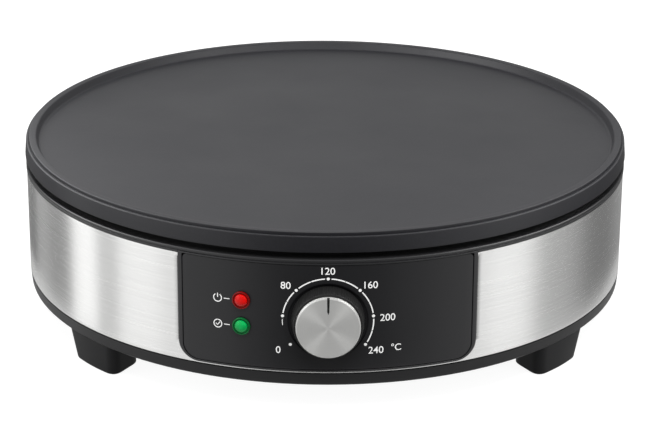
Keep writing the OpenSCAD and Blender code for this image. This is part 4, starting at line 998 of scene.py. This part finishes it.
class CREPE_OT_lamps(bpy.types.Operator):
    """Builds the two domed pilot lamps"""

    bl_idname = "crepe.lamps"
    bl_label = "Pilot lamps"

    def execute(self, context):
        size, face = context.scene.crepe_lamps, context.scene.crepe_panel.fascia_radius
        head, back = face + size.seat, face - size.stem_length
        f, d = size.flange, size.dome
        foot = head + 0.55 * MM
        flange = [
            (size.stem, back), (size.stem, head), (f, head), (f, head + 0.75 * MM),
            (f - 0.55 * MM, head + 1.15 * MM), (d + 0.25 * MM, foot), (0.0, foot), (0.0, back),
        ]
        ring = rounded(flange, np.array([0, 0, 0.15, 0.3, 0.3, 0.15, 0, 0]) * MM)
        a = np.linspace(0, math.pi / 2, 16)
        base = head + 0.5 * MM
        bow = np.stack([d * np.cos(a), base + (size.rise - 0.5 * MM) * np.sin(a)], -1)
        dome = np.concatenate([[[0.0, base]], bow])

        def lathed(profile, z):
            """A turned shape at a height on the fascia, pointing square out of it."""
            return [turned(profile, 64, lambda p: spun(to_front(p, 0.0, z), -size.across / face))]

        # Each flange wears the darker copy of its lens finish, painted shade; each dome wears the
        # lens finish with its painted glow
        for name, z, tone in (("power", size.power, "red"), ("ready", size.ready, "green")):
            slot, stands_for = "lens_" + tone, [name + "_lamp_lens"]
            build(name + "_lamp_flange", lathed(ring, z), slot, stands_for, finish="flange_" + tone)
            build(name + "_lamp_dome", lathed(dome, z), slot)
        return {"FINISHED"}


class CREPE_OT_feet(bpy.types.Operator):
    """Builds the four tapered feet"""

    bl_idname = "crepe.feet"
    bl_label = "Feet"

    def execute(self, context):
        size = context.scene.crepe_feet
        for end, middle, sides in (
            ("front", -math.pi / 2, ("left", "right")), ("rear", math.pi / 2, ("right", "left")),
        ):
            for side, turn in zip(sides, (-size.angle, size.angle)):
                self.foot(size, f"{end}_{side}", middle + turn)
        return {"FINISHED"}

    @staticmethod
    def foot(size, name, a):
        """Outlines that draw in on the way down, closed by a roof and by the recess for the pad."""

        def outline(inset):
            """Seen from above. The inner and outer faces draw in by 0.8 of what the sides do."""
            shift, half, r = 0.8 * inset, size.half_width - inset, size.corner
            out, inner = size.outward - shift, -size.inward - shift
            side, near = out - size.bulge, half - size.taper
            corners = [(inner, -near), (side, -half), (out, 0.0), (side, half), (inner, near)]
            return rounded(corners, [r, r, 0.45 * half, r, r], 10)

        # Rows of an outline and its height. The first and the last are gathered in one point
        top, low, fall = size.top, size.low, size.foot_edge
        rows = [(0.0 * outline(0.0), top), (outline(0.0), top)]
        for t in np.linspace(0, 1, 9)[1:]:
            rows.append((outline(size.draft * t), top + (low + fall - top) * t))
        for b in np.linspace(0, math.pi / 2, 6)[1:]:
            inset = size.draft + fall * (1 - math.cos(b))
            rows.append((outline(inset), low + fall * (1 - math.sin(b))))
        rim = rows[-1][0]
        bearing = np.arctan2(rim[:, 1], rim[:, 0])
        circle = size.pad * np.stack([np.cos(bearing), np.sin(bearing)], -1)
        rows += [(circle, low), (circle, size.pad_depth), (0.0 * circle, size.pad_depth)]
        points = np.array([np.insert(shape, 2, z, axis=1) for shape, z in rows])
        sheet = grid(spun(points + [size.ring, 0.0, 0.0], a), False, True)
        build(f"foot_block_{name}", [sheet], "foot_plastic", [f"foot_{name}"], smooth=40.0)


class CREPE_OT_gland(bpy.types.Operator):
    """Builds the cord gland at the back, with grip rings round its collar"""

    bl_idname = "crepe.gland"
    bl_label = "Cord gland"

    def execute(self, context):
        size = context.scene.crepe_gland
        flange = size.face + size.flange_sheet
        points = [
            (size.bore, size.inner), (size.barrel, size.inner), (size.barrel, size.face),
            (size.flange, size.face), (size.flange, flange), (size.collar, flange),
        ]
        radii = [0.2, 0.3, 0.1, 0.3, 0.6, 0.3]
        groove = 0.35 * MM
        for z in flange + np.array([0.9, 2.0, 3.1]) * MM:  # the grip rings
            points += [(size.collar, z), (size.collar - groove, z + 0.3 * MM)]
            radii += [0.1, 0.1]
        points += [(size.collar, size.outer), (size.bore, size.outer)]
        radii += [0.7, 0.6]

        def to_back(points):
            """Turns a shape that is drawn upwards so that it points along +Y."""
            x, y, h = np.moveaxis(points, -1, 0)
            return np.stack([x, h, size.axis - y], -1)

        sheet = turned(rounded(points, np.array(radii) * MM, 4), 96, to_back)
        build("cord_collar", [sheet], "gland_plastic", ["cord_gland"])
        return {"FINISHED"}


# Brightness of the curtain in gloss at angles from the front, left being negative: its lower part,
# which the steel and the panel show, and its upper part, which the plate's edges show
CURTAIN_LOW = [
    (-180, 0.75), (-130, 0.45), (-104, 0.24), (-97, 0.20), (-90, 0.42), (-83, 0.39), (-77, 0.32),
    (-72, 0.35), (-69, 0.54), (-66, 1.0), (-62, 1.14), (-57, 0.82), (-54, 0.62), (-50, 0.74),
    (-46, 0.94), (-41, 0.92), (-35, 0.77), (-27, 0.72), (-14, 0.34), (0, 0.12), (15, 0.32),
    (28, 0.66), (36, 0.83), (42, 0.95), (47, 0.86), (51, 0.64), (55, 0.49), (62, 0.41), (69, 0.30),
    (76, 0.21), (83, 0.20), (92, 0.25), (130, 0.45), (180, 0.75),
]
CURTAIN_HIGH = [
    (-180, 0.66), (-130, 0.75), (-112, 1.6), (-96, 3.4), (-80, 5.4), (-66, 5.6), (-50, 3.0),
    (-26, 0.8), (0, 0.35), (22, 0.7), (38, 3.6), (54, 5.0), (70, 3.2), (95, 1.3), (125, 0.64),
    (180, 0.66),
]
# Each light, with its place, the height on the plate's axis that it faces, its sides in metres and
# its power in watts
LIGHTS = (
    ("overhead", (-0.25, 0.45, 1.5), 0.05, 1.5, 1.1, 7.0),
    ("left_box", (-1.3, -0.7, 0.6), 0.06, 0.9, 0.8, 6.0),
    ("right_box", (1.1, -0.95, 0.8), 0.06, 0.6, 0.7, 5.0),
    ("front_fill", (0.1, -1.1, 1.8), 0.05, 1.2, 0.8, 44.0),
)
FLOOR_IN_GLOSS, AIR_IN_GLOSS = 0.36, 0.5  # shares of the white that gloss shows of floor and air
WHITE = (1.0, 1.0, 1.0, 1.0)


class CREPE_OT_studio(bpy.types.Operator):
    """Sets the camera, the floor, the lights and the curtain that the gloss reflects"""

    bl_idname = "crepe.studio"
    bl_label = "Studio"

    def execute(self, context):
        size = context.scene.crepe_studio
        self.camera(context, size)
        self.floor(size)
        self.curtain(size)
        self.world(context, size)
        for light in LIGHTS:
            self.light(*light)
        context.scene.view_settings.view_transform = "Standard"
        return {"FINISHED"}

    @staticmethod
    def camera(context, size):
        """Looks at a point on the plate's axis from the front, a little above."""
        data = bpy.data.cameras.new("camera")
        data.lens = size.lens
        data.clip_start, data.clip_end = 0.05, 50.0
        camera = bpy.data.objects.new("camera", data)
        context.scene.collection.objects.link(camera)
        a, e = size.azimuth, size.elevation
        back = Vector((math.sin(a) * math.cos(e), -math.cos(a) * math.cos(e), math.sin(e)))
        camera.location = Vector((0.1 * MM, 0.0, size.aim)) + back * size.distance
        turn = (-back).to_track_quat("-Z", "Y").to_matrix().to_4x4()
        camera.rotation_euler = (turn @ Matrix.Rotation(size.roll, 4, "Z")).to_euler()
        context.scene.camera = camera

    @staticmethod
    def staged(name, points, close, material, uv=None):
        """A sheet of the studio, which isn't part of the object."""
        mesh = mesh_of(name, [grid(points, False, close, uv)])
        mesh.shade_smooth()
        mesh.materials.append(material)
        sheet = bpy.data.objects.new(name, mesh)
        bpy.context.scene.collection.objects.link(sheet)
        return sheet

    def floor(self, size):
        """A wide disc, pale to the camera and in gloss, with shading of its own that keeps the
        shadow."""
        made = Finish("floor_paper", (size.floor_tone,) * 3, 0.9, Specular_IOR_Level=0.0)
        made.tint(made.noise(0.05, 3.0), 0.98, 1.02)
        white = white_to(made.tree, FLOOR_IN_GLOSS)
        made.shader.inputs["Emission Color"].default_value = WHITE
        made.link(maths(made.tree, "MULTIPLY", white, size.floor_glow), "Emission Strength")
        made.material.cycles.emission_sampling = "NONE"
        a = np.arange(96) * TURN / 96
        r = size.floor * np.linspace(0, 1, 12)[:, None] ** 2
        points = np.stack(np.broadcast_arrays(r * np.cos(a), r * np.sin(a), -0.02 * MM), -1)
        self.staged("floor", points, True, made.material)

    def curtain(self, size):
        """A curtain round the object, seen only in gloss, with light and dark stretches like a
        light tent. The UV map's first axis, once round, runs along the curves of tones, and its
        second is the height, which fades from the lower part's tones to the upper part's."""
        made = bpy.data.materials.new("curtain_cloth")
        made.use_nodes = True
        tree = made.node_tree
        tree.nodes.clear()
        where = add_node(tree, "TexCoord").outputs["UV"]
        turn, height = add_node(tree, "SeparateXYZ", {0: where}).outputs[:2]
        fade = {0: height, 1: size.curtain_low, 2: size.curtain_low + 12 * MM}
        mix = {0: add_node(tree, "MapRange", fade).outputs[0]}
        for socket, tones in ((2, CURTAIN_LOW), (3, CURTAIN_HIGH)):
            most = max(tone for _, tone in tones)
            curve = add_node(tree, "FloatCurve", {"Value": turn})
            line = curve.mapping.curves[0].points
            for degrees, tone in tones[1:-1]:
                line.new((degrees + 180.0) / 360.0, tone / most)
            for point, (degrees, tone) in zip(line, tones):
                point.location = ((degrees + 180.0) / 360.0, tone / most)
                point.handle_type = "AUTO_CLAMPED"
            curve.mapping.update()
            mix[socket] = maths(tree, "MULTIPLY", curve.outputs[0], most)
        strength = add_node(tree, "Mix", mix, data_type="FLOAT").outputs[0]
        glow = add_node(tree, "Emission", {"Strength": strength}).outputs[0]
        add_node(tree, "OutputMaterial", {0: glow})
        made.cycles.emission_sampling = "NONE"
        lap = np.linspace(0, 1, 145)
        a = (lap * 360.0 - 180.0) * math.pi / 180.0
        z = np.linspace(0.5 * MM, size.curtain_height, 8)[:, None]
        x, y = size.curtain * np.sin(a), -size.curtain * np.cos(a)
        points = np.stack(np.broadcast_arrays(x, y, z), -1)
        uv = np.stack(np.broadcast_arrays(lap[None, :], z), -1)
        sheet = self.staged("curtain", points, False, made, uv)
        sheet.visible_camera = sheet.visible_diffuse = sheet.visible_transmission = False
        sheet.visible_shadow = sheet.visible_volume_scatter = False

    @staticmethod
    def world(context, size):
        """Even light all round. The camera, and what it sees through clear pieces, gets white."""
        world = bpy.data.worlds.new("studio_air")
        world.use_nodes = True
        tree = world.node_tree
        air = tree.nodes["Background"].inputs
        air["Color"].default_value = WHITE
        strength = maths(tree, "MAXIMUM", white_to(tree, AIR_IN_GLOSS), size.world)
        tree.links.new(strength, air["Strength"])
        context.scene.world = world

    @staticmethod
    def light(name, place, target, width, height, power):
        """A soft box at a place, turned to a height on the plate's axis."""
        data = bpy.data.lights.new(name, "AREA")
        data.shape = "RECTANGLE"
        data.size, data.size_y, data.energy = width, height, power
        lamp = bpy.data.objects.new(name, data)
        lamp.visible_glossy = name != "front_fill"  # or the plate would mirror it from the back
        bpy.context.scene.collection.objects.link(lamp)
        lamp.location = place
        view = Vector((0.0, 0.0, target)) - Vector(place)
        lamp.rotation_euler = view.to_track_quat("-Z", "Y").to_euler()


class CREPE_PT_steps(bpy.types.Panel):
    """Steps that build the crepe maker's looks"""

    bl_idname = "CREPE_PT_steps"
    bl_label = "Crepe maker"
    bl_space_type = "VIEW_3D"
    bl_region_type = "UI"
    bl_category = "Crepe maker"

    def draw(self, context):
        for step in STEPS:
            self.layout.operator(step.bl_idname)


GROUPS = {
    "crepe_plate": PlateSizes, "crepe_band": BandSizes, "crepe_panel": PanelSizes,
    "crepe_knob": KnobSizes, "crepe_lamps": LampSizes, "crepe_dial": DialSizes,
    "crepe_feet": FootSizes, "crepe_gland": GlandSizes, "crepe_colours": FinishColours,
    "crepe_studio": StudioSettings,
}
STEPS = [
    CREPE_OT_finishes, CREPE_OT_plate, CREPE_OT_band, CREPE_OT_panel, CREPE_OT_dial, CREPE_OT_knob,
    CREPE_OT_lamps, CREPE_OT_feet, CREPE_OT_gland, CREPE_OT_studio,
]


def register():
    for name, group in GROUPS.items():
        bpy.utils.register_class(group)
        setattr(bpy.types.Scene, name, PointerProperty(type=group))
    for step in STEPS:
        bpy.utils.register_class(step)
    bpy.utils.register_class(CREPE_PT_steps)


def unregister():
    bpy.utils.unregister_class(CREPE_PT_steps)
    for step in reversed(STEPS):
        bpy.utils.unregister_class(step)
    for name, group in GROUPS.items():
        delattr(bpy.types.Scene, name)
        bpy.utils.unregister_class(group)


def main():
    register()
    bpy.ops.crepe.studio()
    bpy.ops.crepe.finishes()
    bpy.ops.crepe.plate()
    bpy.ops.crepe.band()
    bpy.ops.crepe.panel()
    bpy.ops.crepe.dial()
    bpy.ops.crepe.knob()
    bpy.ops.crepe.lamps()
    bpy.ops.crepe.feet()
    bpy.ops.crepe.gland()
    bpy.context.view_layer.update()


if __name__ == "__main__":
    main()
